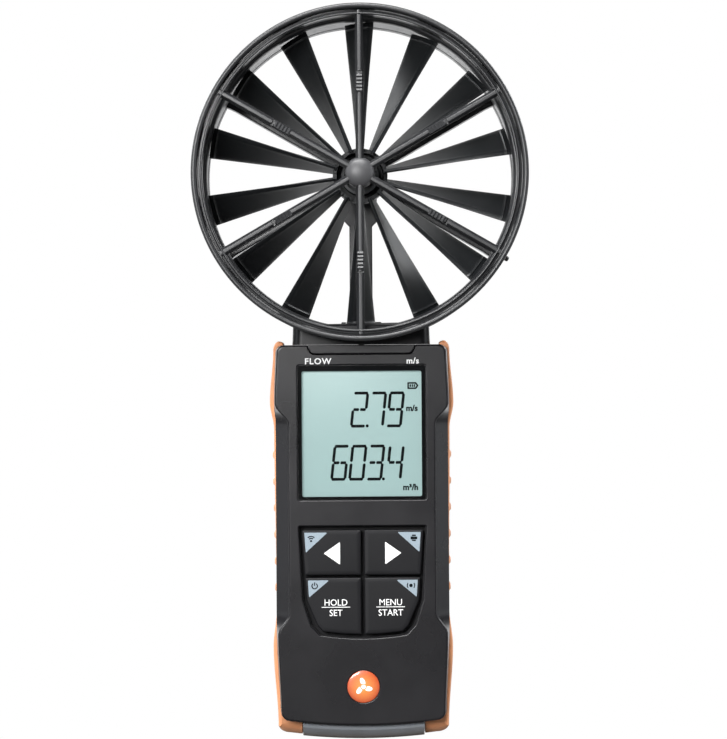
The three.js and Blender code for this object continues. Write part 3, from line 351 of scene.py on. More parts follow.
def joined(name, objects):
    """One object from several that don't touch, such as the letters of a legend."""
    bm = bmesh.new()
    for obj in objects:
        bm.from_mesh(obj.data)
        bpy.data.objects.remove(obj)
    return mesh_object(name, bm)


def finish_piece(obj, material, body, slot, *nodes):
    """Gives a piece its material and its body, and hides the CAD nodes it stands for; the slot is not used."""
    obj.data.materials.clear()
    obj.data.materials.append(material)
    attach(obj, body)
    if nodes:
        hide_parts(*nodes)


# ---------------------------------------------------------------- materials


class Nodes:
    """A short way to write a node tree."""

    def __init__(self, name):
        self.material = bpy.data.materials.new(name)
        self.material.use_nodes = True
        self.tree = self.material.node_tree
        self.tree.nodes.clear()
        self.output = self.tree.nodes.new("ShaderNodeOutputMaterial")
        self.shader = self.tree.nodes.new("ShaderNodeBsdfPrincipled")
        self.surface(self.shader.outputs[0])
        self.place = self.add("TexCoord", output="Object")

    def fill(self, socket, value):
        if isinstance(value, bpy.types.NodeSocket):
            self.tree.links.new(value, socket)
        else:
            socket.default_value = value

    def surface(self, value):
        self.fill(self.output.inputs["Surface"], value)

    def set(self, **values):
        """Fills the principled shader's sockets and gives back the material."""
        for key, value in values.items():
            self.fill(self.shader.inputs[key.replace("_", " ")], value)
        return self.material

    def add(self, kind, inputs=None, output=0, **settings):
        """One output of a new node."""
        node = self.tree.nodes.new("ShaderNode" + kind)
        for key, value in settings.items():
            setattr(node, key, value)
        for key, value in (inputs or {}).items():
            self.fill(node.inputs[key], value)
        return node.outputs[output]

    def noise(self, scale_per_mm, detail=3.0, stretch=(1, 1, 1)):
        """Noise with a given number of features per millimetre."""
        vector = self.add("Mapping", {"Vector": self.place, "Scale": stretch})
        return self.add("TexNoise", {"Vector": vector, "Scale": scale_per_mm / MM, "Detail": detail}, "Fac")

    def spread(self, value, low, high, start=0.3, end=0.7):
        """The value's range from start to end, eased onto the range from low to high."""
        inputs = {"Value": value, "From Min": start, "From Max": end, "To Min": low, "To Max": high}
        return self.add("MapRange", inputs, interpolation_type="SMOOTHSTEP")

    def along(self, node, bottom=0.0, top=1.0):
        """Changes evenly from the bottom of a CAD node to its top."""
        low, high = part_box(node)
        height = self.add("SeparateXYZ", {0: self.place}, 2)
        inputs = {"Value": height, "From Min": low.z, "From Max": high.z, "To Min": bottom, "To Max": top}
        return self.add("MapRange", inputs)

    def maths(self, operation, a, b):
        return self.add("Math", {0: a, 1: b}, operation=operation)

    def mix(self, factor, a, b, blend="MIX"):
        return self.add("Mix", {0: factor, 6: a, 7: b}, 2, data_type="RGBA", blend_type=blend)

    def shade(self, colour, value):
        """A colour multiplied by a changing brightness."""
        return self.mix(1.0, colour, self.add("CombineColor", {0: value, 1: value, 2: value}), "MULTIPLY")

    def bump(self, height, strength, distance_mm):
        return self.add("Bump", {"Height": height, "Strength": strength, "Distance": distance_mm * MM})

    def edges(self, radius_mm):
        """Rises from 0 on flat stretches to 1 along rounded edges, where wear and painted highlights go."""
        rounded_normal = self.add("Bevel", {"Radius": radius_mm * MM}, samples=4)
        flat_normal = self.add("NewGeometry", output="Normal")
        dot = self.add("VectorMath", {0: rounded_normal, 1: flat_normal}, "Value", operation="DOT_PRODUCT")
        gap = self.maths("SUBTRACT", 1.0, dot)
        return self.add("Clamp", {0: self.maths("MULTIPLY", gap, 6.0)})


def moulded(name, colour, roughness, grain_per_mm=3.0, grain=0.12, uneven=0.06, wear_and_highlight=0.35, specular=0.5):
    """Moulded plastic: fine eroded grain, uneven sheen, and edges polished by handling, their colour lightened
    partly as wear and partly as a painted highlight.
    """
    n = Nodes(name)
    fine = n.noise(grain_per_mm, 2.0)
    broad = n.noise(0.05)
    edge = n.edges(0.35)
    base = n.shade((*colour, 1), n.spread(broad, 0.88, 1.12))
    # Edges lightened in colour: partly wear, partly a painted highlight.
    worn_and_highlit = n.mix(n.maths("MULTIPLY", edge, wear_and_highlight), base, (*[min(1, c * 2.2 + 0.02) for c in colour], 1))
    rough = n.spread(broad, roughness - uneven, roughness + uneven)
    polished = n.maths("SUBTRACT", rough, n.maths("MULTIPLY", edge, 0.12))
    grain_normal = n.bump(fine, grain, 0.05)
    return n.set(
        Base_Color=worn_and_highlit, Roughness=polished, Normal=grain_normal, IOR=1.5, Specular_IOR_Level=specular
    )


def soft_grip(name, colour):
    """Soft-touch rubber: matte, slightly chalky, darker where hands have polished it."""
    n = Nodes(name)
    smudge = n.noise(0.12, 4.0)
    return n.set(
        Base_Color=n.shade((*colour, 1), n.spread(smudge, 0.9, 1.08)),
        Roughness=n.spread(smudge, 0.52, 0.68),
        Normal=n.bump(n.noise(5.0, 2.0), 0.12, 0.04),
        Sheen_Weight=0.25,
        Sheen_Roughness=0.5,
        Sheen_Tint=(1.0, 0.8, 0.65, 1),
        Subsurface_Weight=0.05,
        Subsurface_Radius=(0.002, 0.001, 0.0005),
    )


def metal(name, colour, roughness):
    """Metal with fine lines that run level."""
    n = Nodes(name)
    lines = n.noise(6.0, 2.0, (1, 1, 8))
    return n.set(
        Base_Color=n.shade((*colour, 1), n.spread(lines, 0.86, 1.1)),
        Metallic=1.0,
        Roughness=n.spread(lines, roughness - 0.06, roughness + 0.1),
        Normal=n.bump(lines, 0.08, 0.02),
    )


def print_ink(name, colour, roughness=0.5):
    """Screen-printed ink, slightly uneven in cover and with hardly any shine."""
    n = Nodes(name)
    cover = n.noise(2.5)
    return n.set(
        Base_Color=n.shade((*colour, 1), n.spread(cover, 0.9, 1.05)),
        Roughness=roughness,
        Normal=n.bump(cover, 0.1, 0.02),
        Specular_IOR_Level=0.1,
    )


def blade_plastic():
    """Smooth black blade plastic with faint flow marks from the mould, and a highlight painted along its
    edges.
    """
    n = Nodes("blade_plastic")
    # Paler colour painted along the edges as a highlight.
    worn_and_highlit = n.maths("MULTIPLY", n.edges(0.3), 0.5)
    return n.set(
        Base_Color=n.mix(worn_and_highlit, (0.008, 0.009, 0.010, 1), (0.05, 0.052, 0.056, 1)),
        Roughness=n.spread(n.noise(0.05, 2.0), 0.42, 0.52),
        Normal=n.bump(n.noise(4.0, 2.0), 0.04, 0.02),
        Specular_IOR_Level=0.35,
    )


def window_plastic():
    """Clear window: only its reflection shows, with faint smudges in it."""
    n = Nodes("window_plastic")
    clear = n.add("BsdfTransparent", {"Color": (0.97, 0.985, 0.98, 1)})
    gloss = n.add("BsdfGlossy", {"Roughness": n.spread(n.noise(0.08, 4.0), 0.03, 0.12)})
    facing = n.add("Fresnel", {"IOR": 1.42})
    n.surface(n.add("MixShader", {0: facing, 1: clear, 2: gloss}))
    return n.material


def lcd_surface():
    """Pale green display with a faint pixel grain, slightly darker towards its top."""
    n = Nodes("lcd_surface")
    cloud = n.spread(n.noise(0.03, 2.0), 0.97, 1.03)
    tone = n.maths("MULTIPLY", cloud, n.spread(n.noise(7.0, 1.0), 0.985, 1.015))
    height = n.along("lcd_glass", 1.04, 0.96)
    return n.set(
        Base_Color=n.shade((0.275, 0.375, 0.375, 1), n.maths("MULTIPLY", tone, height)),
        Roughness=0.35,
        Emission_Color=(0.42, 0.57, 0.565, 1),
        Emission_Strength=0.44,
    )


def badge_enamel():
    """Glossy orange badge, deeper towards its rim."""
    n = Nodes("badge_enamel")
    centre = tuple(to_world(BADGE.x, BADGE.y, BADGE.front))
    apart = n.add("VectorMath", {0: n.place, 1: centre}, "Value", operation="DISTANCE")
    share = n.maths("DIVIDE", apart, BADGE.width / 2 * MM)
    ramp = n.mix(share, (0.80, 0.30, 0.06, 1), (0.48, 0.07, 0.02, 1))
    return n.set(
        Base_Color=n.shade(ramp, n.spread(n.noise(3.0, 2.0), 0.95, 1.05)),
        Roughness=0.3,
        Coat_Weight=0.8,
        Coat_Roughness=0.05,
    )


def board_mask():
    """Green circuit board with copper traces showing through the mask."""
    n = Nodes("board_mask")
    black, white = (0, 0, 0, 1), (1, 1, 1, 1)
    pattern = {"Vector": n.place, "Scale": 0.5 / MM, "Mortar Size": 0.03}
    traces = n.add("TexBrick", {**pattern, "Color1": black, "Color2": black, "Mortar": white}, "Color")
    base = n.mix(traces, (0.012, 0.10, 0.045, 1), (0.03, 0.19, 0.08, 1))
    return n.set(Base_Color=base, Roughness=0.35, Normal=n.bump(traces, 0.3, 0.05))


def cell_sleeve():
    """Printed cell sleeve: a dark band and a copper-coloured shoulder."""
    n = Nodes("cell_sleeve")
    shoulder = n.maths("GREATER_THAN", n.along("battery_1"), 0.72)
    scuff = n.noise(0.8, 4.0)
    base = n.mix(shoulder, (0.02, 0.035, 0.07, 1), (0.45, 0.24, 0.08, 1))
    base = n.shade(base, n.spread(scuff, 0.85, 1.1))
    return n.set(Base_Color=base, Metallic=0.5, Roughness=n.spread(scuff, 0.22, 0.4))


HOUSING_PLASTIC = moulded("housing_plastic", (0.015, 0.0155, 0.017), 0.38, 2.2, 0.14, specular=0.58)
# A darker, less shiny copy of the housing plastic for the neck: painted shade for the ring's shadow on it.
NECK_SHADE_PLASTIC = moulded("neck_painted_shade", (0.005, 0.005, 0.006), 0.3, 2.2, specular=0.22)
CASING_PLASTIC = moulded("casing_plastic", (0.006, 0.0056, 0.007), 0.29, 4.0, 0.14, 0.025, specular=0.42)
KEY_RUBBER = moulded("key_rubber", (0.0065, 0.0065, 0.0078), 0.5, 5.0, 0.2, wear_and_highlight=0.5, specular=0.2)
CAP_PLASTIC = moulded("cap_plastic", (0.052, 0.052, 0.055), 0.42, 5.0)
CHIP_BLACK = moulded("chip_black", (0.012, 0.012, 0.013), 0.55, 6.0)
NATURAL_WHITE = moulded("natural_white", (0.55, 0.55, 0.53), 0.5, wear_and_highlight=0.1)
TRAY_BLACK = moulded("tray_black", (0.022, 0.022, 0.024), 0.5)
CABLE_JACKET = moulded("cable_jacket", (0.012, 0.012, 0.012), 0.4, 2.0)
BLADE_PLASTIC = blade_plastic()
ORANGE_GRIP = soft_grip("orange_grip", (0.66, 0.28, 0.13))
GREY_STRIP = soft_grip("grey_strip", (0.175, 0.19, 0.21))
WINDOW_CLEAR = window_plastic()
LCD_SURFACE = lcd_surface()
LCD_SEGMENT = print_ink("lcd_segment", (0.002, 0.004, 0.005), 0.7)
WHITE_INK = print_ink("white_ink", (0.90, 0.90, 0.90))
BLUE_INK = print_ink("blue_ink", (0.27, 0.325, 0.37))
BORDER_INK = print_ink("border_ink", (0.002, 0.002, 0.003), 0.85)
BADGE_ENAMEL = badge_enamel()
STEEL = metal("steel", (0.58, 0.58, 0.60), 0.28)
BRASS = metal("brass", (0.66, 0.48, 0.2), 0.3)
BOARD_MASK = board_mask()
CELL_SLEEVE = cell_sleeve()


# ---------------------------------------------------------------- vane head

ARMS = 6
BLADES = 14
BAND_R = RING_R - 1
BEAD = 0.85
POCKET_R = RING_R - 1.7
MOUTH_R = 48.8
THROAT_R = 47.6
THROAT_DEPTH = 6.6
MOUTH_LENGTH = 2.4
CHAMBER_R = 48.6
FLANGE = 4.5
POCKET_DEPTH = 5.9


def duct():
    """The ring: two beaded flanges, a pocket for each guard, a drawn-in mouth and the vane chamber."""
    bead_r = RING_R - BEAD
    pocket = LIP - POCKET_DEPTH
    shoulder = LIP - FLANGE
    step = [
        (BAND_R, shoulder - 1.4), (BAND_R + 0.1, shoulder - 1), (RING_R - 0.15, shoulder - 0.1),
        (RING_R, shoulder + 0.3),
    ]
    mouth = [
        (THROAT_R + (MOUTH_R - THROAT_R) * (1 - cos), THROAT_DEPTH + MOUTH_LENGTH * sin)
        for sin, cos in reversed(quarter(8))
    ]
    profile = (
        [(POCKET_R, -pocket)]
        + arc(bead_r, -LIP + BEAD, BEAD, 180, 360, 10)
        + [(r, -depth) for r, depth in reversed(step)]
        + step
        + arc(bead_r, LIP - BEAD, BEAD, 0, 180, 10)
        + [(POCKET_R, pocket)]
        + mouth
        + [(THROAT_R, THROAT_DEPTH - 0.5), (CHAMBER_R, THROAT_DEPTH - 0.9), (CHAMBER_R, -pocket)]
    )
    return lathe("duct_ring", profile, ring=True)


NECK_HALF = 21.4
NECK_FRONT = 12.4
NECK_BACK = -20.4
NECK_BOTTOM = FRONT.top + 0.05
NECK_LEVELS = 14
NECK_DRAW = 0.012
HEEL_SLOPE = 0.75


def neck():
    """The block under the ring: upright edges rounded, its top shaped to the duct.

    Its underside climbs where it overhangs the back of the handle.
    """
    plan = rounded_rect(-NECK_HALF, NECK_BACK, NECK_HALF, NECK_FRONT, 3.2, 8)
    seat_r = BAND_R - 0.4
    loops = []
    for level in range(NECK_LEVELS + 1):
        share = level / NECK_LEVELS
        draw = 1 - NECK_DRAW * share
        loop = []
        for x, z in plan:
            bottom = NECK_BOTTOM + max(0.0, REAR.back + 0.6 - z) * HEEL_SLOPE
            top = RING_Y - math.sqrt(seat_r**2 - x * x)
            loop.append((x * draw, bottom + (top - bottom) * share, z))
        loops.append(loop)
    return skin("neck", loops)


TONGUE_HALF = 16.7
TONGUE_TIP_HALF = 15.5
TONGUE_TIP = 120


def tongue_outline(grow=0.0):
    """The tongue of the neck that shows flush with the front shell."""
    top = NECK_BOTTOM + 0.9
    side = [(TONGUE_TIP_HALF, TONGUE_TIP), (TONGUE_HALF, FRONT.top - 0.9), (TONGUE_HALF, top)]
    corners = [(-TONGUE_TIP_HALF, TONGUE_TIP), *side, *mirrored(side, -1)[:2]]
    return grown(corners, [1.6, 1.6, 0.8, 0.3, 0.3, 0.8], grow, 6)


def tongue():
    """The tongue itself, with a rounded top edge level with the shell's."""
    sections = []
    for inset, depth in edge_round(0.2, 9.5, -1) + edge_round(0.35, FRONT.front - 0.05, 1):
        outline = tongue_outline(-0.12 - inset)
        sections.append(([(x, min(y, FRONT.top - inset)) for x, y in outline], depth))
    return resharpen(loft("neck_tongue", sections), 30)


finish_piece(duct(), HOUSING_PLASTIC, "root", "housing", "vane_housing")
# The neck takes the darker copy of the housing plastic, as painted shade under the ring.
finish_piece(neck(), NECK_SHADE_PLASTIC, "root", "housing", "vane_housing")
finish_piece(tongue(), CASING_PLASTIC, "root", "housing", "vane_housing")

ARM_START = 3


def bar_up(section, end, flare):
    """A bar that runs up from the hub and widens at its end; its section lists (x, depth) anticlockwise."""
    loops = []
    for share, widen in [(0.0, 1.0), (0.93, 1.0), (0.97, 1.0 + flare * 0.35), (1.0, 1.0 + flare)]:
        y = RING_Y + ARM_START + (end - ARM_START) * share
        loops.append([(x * widen, y, z) for x, z in reversed(section)])
    return skin("arm", loops)


GUARD_R = 49.9
GUARD_BORE_R = 48.6
CREST = INLET.front - 0.4
RIB_BLOCK_START = 24.5
RIB_BLOCK_LENGTH = 5.6
RIB_BLOCK_HALF = 0.85
RIB_BLOCK_RIBS = 5
RIB_WAVE = 0.16
WAVE_STEPS = 8


def inlet_arm():
    """A web under a narrow rounded crest."""
    side = [(0.75, CREST - 4.2), (1.25, CREST - 1.35), (0.5, CREST)]
    section = rounded(side + mirrored(side, -1), [0.25, 0.3, 0.35, 0.35, 0.3, 0.25], 4)
    return bar_up(section, GUARD_R - 0.1, 0.15)


def ribbed_block():
    """The finely ribbed block on each arm."""
    count = RIB_BLOCK_RIBS * WAVE_STEPS
    profile = [(RIB_BLOCK_START, CREST - 1.6)]
    for i in range(count + 1):
        height = INLET.front - RIB_WAVE * (1 + math.cos(TAU * i / WAVE_STEPS))
        profile.append((RIB_BLOCK_START + RIB_BLOCK_LENGTH * i / count, height))
    profile.append((RIB_BLOCK_START + RIB_BLOCK_LENGTH, CREST - 1.6))
    return skin("ribs", [[(x, RING_Y + y, z) for y, z in profile] for x in (-RIB_BLOCK_HALF, RIB_BLOCK_HALF)])


def notch_mark():
    """A cutter for the small notch beyond each ribbed block."""
    y = RING_Y + RIB_BLOCK_START + RIB_BLOCK_LENGTH + 0.7
    return block("notch", (-1, y - 0.4, CREST - 1.2), (1, y + 0.4, CREST + 1), 0.1)


def inlet_guard():
    """Front guard: its ridged rim, the boss under the hub cap, and the arms with their ribbed blocks."""
    ridge = RING_R - 2.8
    crown = INLET.front - 0.65
    rim_back = INLET.front - 4.6
    rim = lathe("rim", [
        (GUARD_BORE_R, rim_back), (GUARD_R, rim_back), (GUARD_R, LIP - 2.1), (GUARD_R - 0.15, LIP - 1.95),
        (ridge + 0.1, LIP - 1.85), (ridge, LIP - 1.7), (ridge, crown + 0.05),
        *arc(ridge - 0.4, crown, 0.4, 20, 160, 6), (48.4, crown - 0.1), (48.35, crown - 0.8),
    ], ring=True)
    back = INLET.back
    boss = lathe("boss", [
        (0, back), (3.2, back), (3.5, back + 0.3), (4.5, back + 4), (4.6, back + 4.6), (4.6, 20.1),
        (4.4, 20.4), (0, 20.4),
    ], facets=64)
    guard = merged("inlet_guard", [rim, boss, *copies(inlet_arm, ARMS), *copies(ribbed_block, ARMS)])
    return resharpen(cut(guard, *copies(notch_mark, ARMS)), 32)


def hub_cap():
    radius = CAP.width / 2
    seat = 20.7
    dome_back = seat + 0.25
    dome = [(radius * cos, dome_back + (CAP.front - dome_back) * sin) for sin, cos in quarter(16)[:-1]]
    stem = [(0, CAP.back), (1.4, CAP.back), (1.5, CAP.back + 0.1), (1.5, seat), (radius - 0.2, seat)]
    return lathe("hub_cap_dome", [*stem, *dome, (0, CAP.front)], facets=96)


finish_piece(inlet_guard(), HOUSING_PLASTIC, "root", "housing", "inlet_guard")
finish_piece(hub_cap(), CAP_PLASTIC, "root", "casing", "hub_cap")

ARM_BACK = OUTLET.back
ARM_FRONT = -17.6
COLUMN_HALF = 3.65
SHOULDER_HALF = 5.2
COLUMN_LENGTH = 48.8


def outlet_arm():
    side = [(1, ARM_BACK), (0.85, ARM_FRONT)]
    return bar_up(rounded(side + mirrored(side, -1), [0.3, 0.5, 0.5, 0.3], 4), COLUMN_LENGTH, 0.4)


def outlet_guard():
    """Rear guard: its rim, hub and arms, and the broad column with its seats for the cover and the bead."""
    rim = lathe("rim", [
        (48.35, ARM_BACK + 0.25), (GUARD_BORE_R, ARM_BACK), (GUARD_R - 0.25, ARM_BACK),
        (GUARD_R, ARM_BACK + 0.25), (GUARD_R, ARM_FRONT), (GUARD_BORE_R, ARM_FRONT), (48.4, ARM_FRONT - 0.4),
    ], ring=True)
    hub = lathe("hub", [
        (0, ARM_BACK), (7, ARM_BACK), (7.7, ARM_BACK + 0.3), (8, ARM_BACK + 1), (8, ARM_FRONT + 1),
        (7.6, ARM_FRONT + 1.8), (4.9, OUTLET.front - 0.4), (4.4, OUTLET.front), (0, OUTLET.front),
    ], facets=96)
    side = [
        (COLUMN_HALF, RING_Y - COLUMN_LENGTH), (COLUMN_HALF, RING_Y - 15.1), (SHOULDER_HALF, RING_Y - 13.5),
        (SHOULDER_HALF, RING_Y - 4),
    ]
    outline = rounded(side + mirrored(side, -1), [0, 0.6, 0.6, 0, 0, 0.6, 0.6, 0], 4)
    column = pillow("column", outline, ARM_BACK, ARM_FRONT + 0.35, 0.3, 0.4)
    foot = block("foot", (-6.4, RING_Y - 48.6, ARM_BACK), (6.4, RING_Y - 45.6, ARM_FRONT), 0.3)
    body = merged("outlet_guard", [rim, hub, *copies(outlet_arm, ARMS), column, foot])
    slots = []
    for low in (46.6, 47.7):
        slots.append(block(
            "slot", (2.6, RING_Y - low, ARM_FRONT - 1.2), (5.8, RING_Y - low + 0.5, ARM_FRONT + 3), 0.1
        ))
    half = COLUMN_HALF - 0.7
    return resharpen(cut(
        body,
        block("seat", (-5.6, RING_Y - 47.6, ARM_FRONT - 1.6), (-2.9, RING_Y - 44.9, ARM_FRONT + 3), 0.2),
        *slots,
        block("channel", (-1.6, RING_Y - COLUMN_LENGTH - 1, ARM_BACK - 1), (1.6, RING_Y - 3.4, -19.1), 0.2),
        block("cover_seat", (-half, RING_Y - 45, ARM_BACK - 1), (half, RING_Y - 9.6, ARM_BACK + 0.8), 0.2),
    ), 32)


def wire_cover():
    box = Box("column_cover")
    return pillow("wire_cover", box.rect(0, 0.5, 4), box.back, box.front, 0.12, 0.1)


finish_piece(outlet_guard(), HOUSING_PLASTIC, "root", "housing", "outlet_guard")
finish_piece(wire_cover(), HOUSING_PLASTIC, "root", "housing", "column_cover")

HUB_R = 8.6
HUB_FRONT = 2.0
HUB_BACK = -8.0
TWIST = 0.19
BLADE_FRONT = 5.2
BLADE_BACK = -4.8
BLADE_HALF = 0.45
BLADE_ROOT_R = HUB_R - 0.7
TIP_R = 47.9
TIP_RIB_R = 46.4
TIP_RIB_HEIGHT = 0.5
CHORD_STEPS = 12
RADIAL_STEPS = 10


def hump(value, middle, width):
    """A smooth rise to 1 round a middle value."""
    return math.exp(-(((value - middle) / width) ** 2))


def blade():
    """One helical blade pointing up, with a thicker leading edge and a rib near its tip."""
    span = BLADE_FRONT - BLADE_BACK
    rib_start = TIP_RIB_R - 1
    radii = [BLADE_ROOT_R + (rib_start - BLADE_ROOT_R) * k / RADIAL_STEPS for k in range(RADIAL_STEPS + 1)]
    radii += [TIP_RIB_R + 0.25 * k for k in range(-2, 3)] + [TIP_R]
    loops = []
    for r in radii:
        rib = TIP_RIB_HEIGHT * hump(r, TIP_RIB_R, 0.3)
        slope = math.hypot(span, TWIST * r)
        loop = []
        for side in (1, -1):
            for i in range(CHORD_STEPS + 1):
                t = i / CHORD_STEPS if side > 0 else 1 - i / CHORD_STEPS
                rounding = max(0.12, math.sqrt(1 - abs(2 * t - 1) ** 14))
                half = BLADE_HALF * rounding + 0.2 * hump(t, 0.93, 0.045)
                if side < 0 and 0 < i < CHORD_STEPS:
                    half += rib
                cos, sin = math.cos(TWIST * (0.5 - t)), math.sin(TWIST * (0.5 - t))
                across = side * half * span / slope
                along = side * half * TWIST * r / slope
                loop.append((
                    across * cos - r * sin, RING_Y + across * sin + r * cos, BLADE_BACK + span * t - along
                ))
        loops.append(loop)
    return skin("blade", loops, sharp_angle=50)


def hub_notch():
    """A cutter for a notch in the hub's rim, halfway between two blades."""
    y = RING_Y + HUB_R
    tool = block("notch", (-0.75, y - 1.6, HUB_FRONT - 1.1), (0.75, y + 1.6, HUB_FRONT + 1), 0.12)
    return turned(tool, TAU / BLADES / 2)


def vane_wheel():
    """Cup-shaped hub with a notched rim, and its ring of blades."""
    front, back = HUB_FRONT, HUB_BACK
    cup = back + 1.6
    hub = lathe("hub", [
        (0, back), (HUB_R - 0.6, back), (HUB_R - 0.15, back + 0.2), (HUB_R, back + 0.6),
        (HUB_R, front - 0.15), (HUB_R - 0.15, front), (7.5, front), (7.4, front - 0.1), (7.35, cup + 0.3),
        (7.1, cup), (6, cup), (6, front - 2.6), (5.8, front - 2.4), (5, front - 2.4), (4.9, cup), (3, cup),
        (2.6, front - 1.2), (2.4, front - 1), (0, front - 1),
    ], facets=112)
    wheel = merged("vane_wheel_fine", [hub, *copies(blade, BLADES)])
    bore = rod("bore", 0.85, back - 1, front + 1, (0, RING_Y))
    return resharpen(cut(wheel, *copies(hub_notch, BLADES), bore), 42)


def axle():
    box = Box("rotor_axle")
    back, front = box.back, box.front
    profile = [(0, back), (0.6, back), (0.75, back + 0.15), (0.75, front - 0.15), (0.6, front), (0, front)]
    return lathe("axle", profile, facets=32)


PIN_ANGLE = math.radians(-29)


def funnel_pin():
    """The pin that stands out of the ring, with a rounded end."""
    depth = Box("funnel_pin").z
    cos, sin = math.cos(PIN_ANGLE), math.sin(PIN_ANGLE)
    loops = []
    for out, radius in [(50.3, 0.85), (53.2, 0.85), (53.5, 0.78), (53.7, 0.62), (53.8, 0.35)]:
        ring = circle(0, 0, radius, 24)
        loops.append([(out * cos - x * sin, RING_Y + out * sin + x * cos, depth + z) for x, z in ring])
    return skin("locating_pin", loops)


finish_piece(vane_wheel(), BLADE_PLASTIC, "vane", "blade", "vane_wheel")
finish_piece(axle(), STEEL, "vane", "steel", "rotor_axle")
finish_piece(funnel_pin(), HOUSING_PLASTIC, "root", "steel", "funnel_pin")


# ---------------------------------------------------------------- handle casing


def eased(stations, y):
    """Half width at a height, eased between the listed stations."""
    if y <= stations[0][0]:
        return stations[0][1]
    for (low, a), (high, b) in zip(stations, stations[1:]):
        if y <= high:
            share = (y - low) / (high - low)
            return a + (b - a) * share * share * (3 - 2 * share)
    return stations[-1][1]


def foot_arc(x):
    return x * x / (2 * FOOT_ARC_RADIUS)


SIDE_STEPS = 110
CORNER_STEPS = 6
FOOT_STEPS = 24
CORNER_R = 2.2


def handle_outline(stations, inset=0.0, bottom=FRONT.bottom):
    """A closed handle outline: arched foot, eased sides and a flat top, with rounded corners."""
    base, ceiling = bottom + inset, FRONT.top - inset
    r = CORNER_R - inset * 0.5
    span = ceiling - base - 2 * r
    corner = quarter(CORNER_STEPS)
    heights = [base + r * (1 - cos) for _, cos in corner[:-1]]
    heights += [base + r + span * i / SIDE_STEPS for i in range(SIDE_STEPS + 1)]
    heights += [ceiling - r + r * sin for sin, _ in corner[1:]]
    right = []
    for y in heights:
        half = eased(stations, y) - inset
        gap = max(r - (y - base), r - (ceiling - y))
        if gap > 0:
            half -= r - math.sqrt(max(0.0, r * r - gap * gap))
        right.append((half, y + foot_arc(half) * (ceiling - y) / (ceiling - base)))
    first = right[0][0]
    foot = [-first + 2 * first * i / FOOT_STEPS for i in range(1, FOOT_STEPS)]
    return right + mirrored(right, -1) + [(x, base + foot_arc(x)) for x in foot]


CORE = [(y, half - SIDE_INSET) for y, half in SILHOUETTE]
FLANGE_BACK = 7.7
FACE_BACK = 11.3
SEAT_DEPTH = 1.2
WALL = 1.8


def core(inset=0.0):
    """The inner body of the handle, between the grips."""
    return handle_outline(CORE, inset, FRONT.bottom + 0.4)


def keypad_outline(grow=0.0):
    """The keypad opening: straight top, sides drawn in, arched bottom."""
    left = [(-19.9, 66.8), (-18.75, 43.6), (-16.3, 35.9), (-13.4, 32.9)]
    end, low = -left[-1][0], left[-1][1]
    steps, sag = 8, 1.1
    arch = [-end + 2 * end * i / steps for i in range(1, steps)]
    corners = left + [(x, low - sag * (1 - (x / end) ** 2)) for x in arch] + mirrored(left, -1)
    radii = [0.5, 3, 1.5, 0.8]
    return grown(corners, radii + [0] * len(arch) + radii[::-1], grow, 4)


def window_outline(grow=0.0):
    return WINDOW.rect(0.3 + grow, 0.8 + grow, 6)


def badge_outline(grow=0.0):
    return circle(BADGE.x, BADGE.y, BADGE.width / 2 + 0.12 + grow, 64)


def view_outline(radius):
    """The part of the display that shows in the printed frame."""
    half, bottom, top = 18.6, 75.8, 114.75
    return rounded_rect(-half, bottom, half, top, radius, 6)


POST_R = 2.1
POSTS = [(-21.4, 117.3), (-19.4, 10.6), (21.4, 117.3), (19.4, 10.6)]
NECK_SCREWS = [(-10, 115), (10, 115)]
PILOT_R = 0.8
SHANK_R = 1.15
SINK_R = 1.9


def shell_with(name, shell, posts, tools):
    """A shell joined with its posts one by one, then cut by its tools one by one."""
    for post in posts:
        shell = merged(name, [shell, post])
    for tool in tools:
        shell = cut(shell, tool)
    return resharpen(shell, 30)


def shared_tools(notch_front, plug_back, lug_back):
    """Cutters for the neck's tongue, the neck's plug and the lug of the foot strip."""
    return [
        loft("notch", [(tongue_outline(0.22), 6), (tongue_outline(0.22), notch_front)]),
        block("plug", (-16, 118.3, plug_back), (16, FRONT.top + 2, FACE_BACK), 0.1),
        block("lug", (-8.3, 1, lug_back), (8.3, 9.3, 6.3), 0.1),
    ]


def front_shell():
    """Front shell: raised waisted panel, seats for window, keys and badge, hollow behind."""
    face = FRONT.front
    sections = [(core(), FRONT.back), (core(), FLANGE_BACK - 0.1)]
    for inset, depth in [(0.35, 0), (0.08, 0.12), (0, 0.4), (0, 1.5)]:
        sections.append((handle_outline(EDGE, inset), FLANGE_BACK + depth))
    sections += [(handle_outline(PANEL, inset), depth) for inset, depth in edge_round(0.7, face, 1, 5)]
    hollow = loft("hollow", [(core(WALL), FRONT.back - 1), (core(WALL), FACE_BACK)])
    shell = cut(loft("front_casing", sections), hollow)
    posts = [rod("post", POST_R, FRONT.back, FACE_BACK + 0.5, place) for place in POSTS]
    tools = [
        well("window_seat", window_outline, face - SEAT_DEPTH, face),
        loft("view", [(view_outline(0.25), FACE_BACK - 1), (view_outline(0.25), face + 1)]),
        well("keypad_hole", keypad_outline, FACE_BACK - 1, face, 0.35),
        well("badge_seat", badge_outline, face - 0.5, face, 0.25),
        *shared_tools(face + 1, -14, -5),
    ]
    tools += [rod("pilot", PILOT_R, FRONT.back - 1, FACE_BACK - 0.5, place, 20) for place in POSTS]
    return shell_with("front_casing", shell, posts, tools)


finish_piece(front_shell(), CASING_PLASTIC, "root", "casing", "front_shell")

GRIP_GAP = 0.3
CASING_SINK = REAR.back + 7.4
NECK_SINK = REAR.back + 1.5
CAVITY_BACK = REAR.back + 2.2
BACK_EDGE_R = 3.2


def cover_outline(grow=0.0):
    return COVER.rect(grow, 1.7 + grow, 8)


def screw_hole(place, floor, end):
    """Cutters for a screw: its shank's hole, and a well for its head with a rounded rim."""
    back = REAR.back
    sink = well("sink", lambda grow: circle(*place, SINK_R + grow, 40), floor, back, way=-1)
    return [rod("shank", SHANK_R, back - 1, end, place, 24), sink]


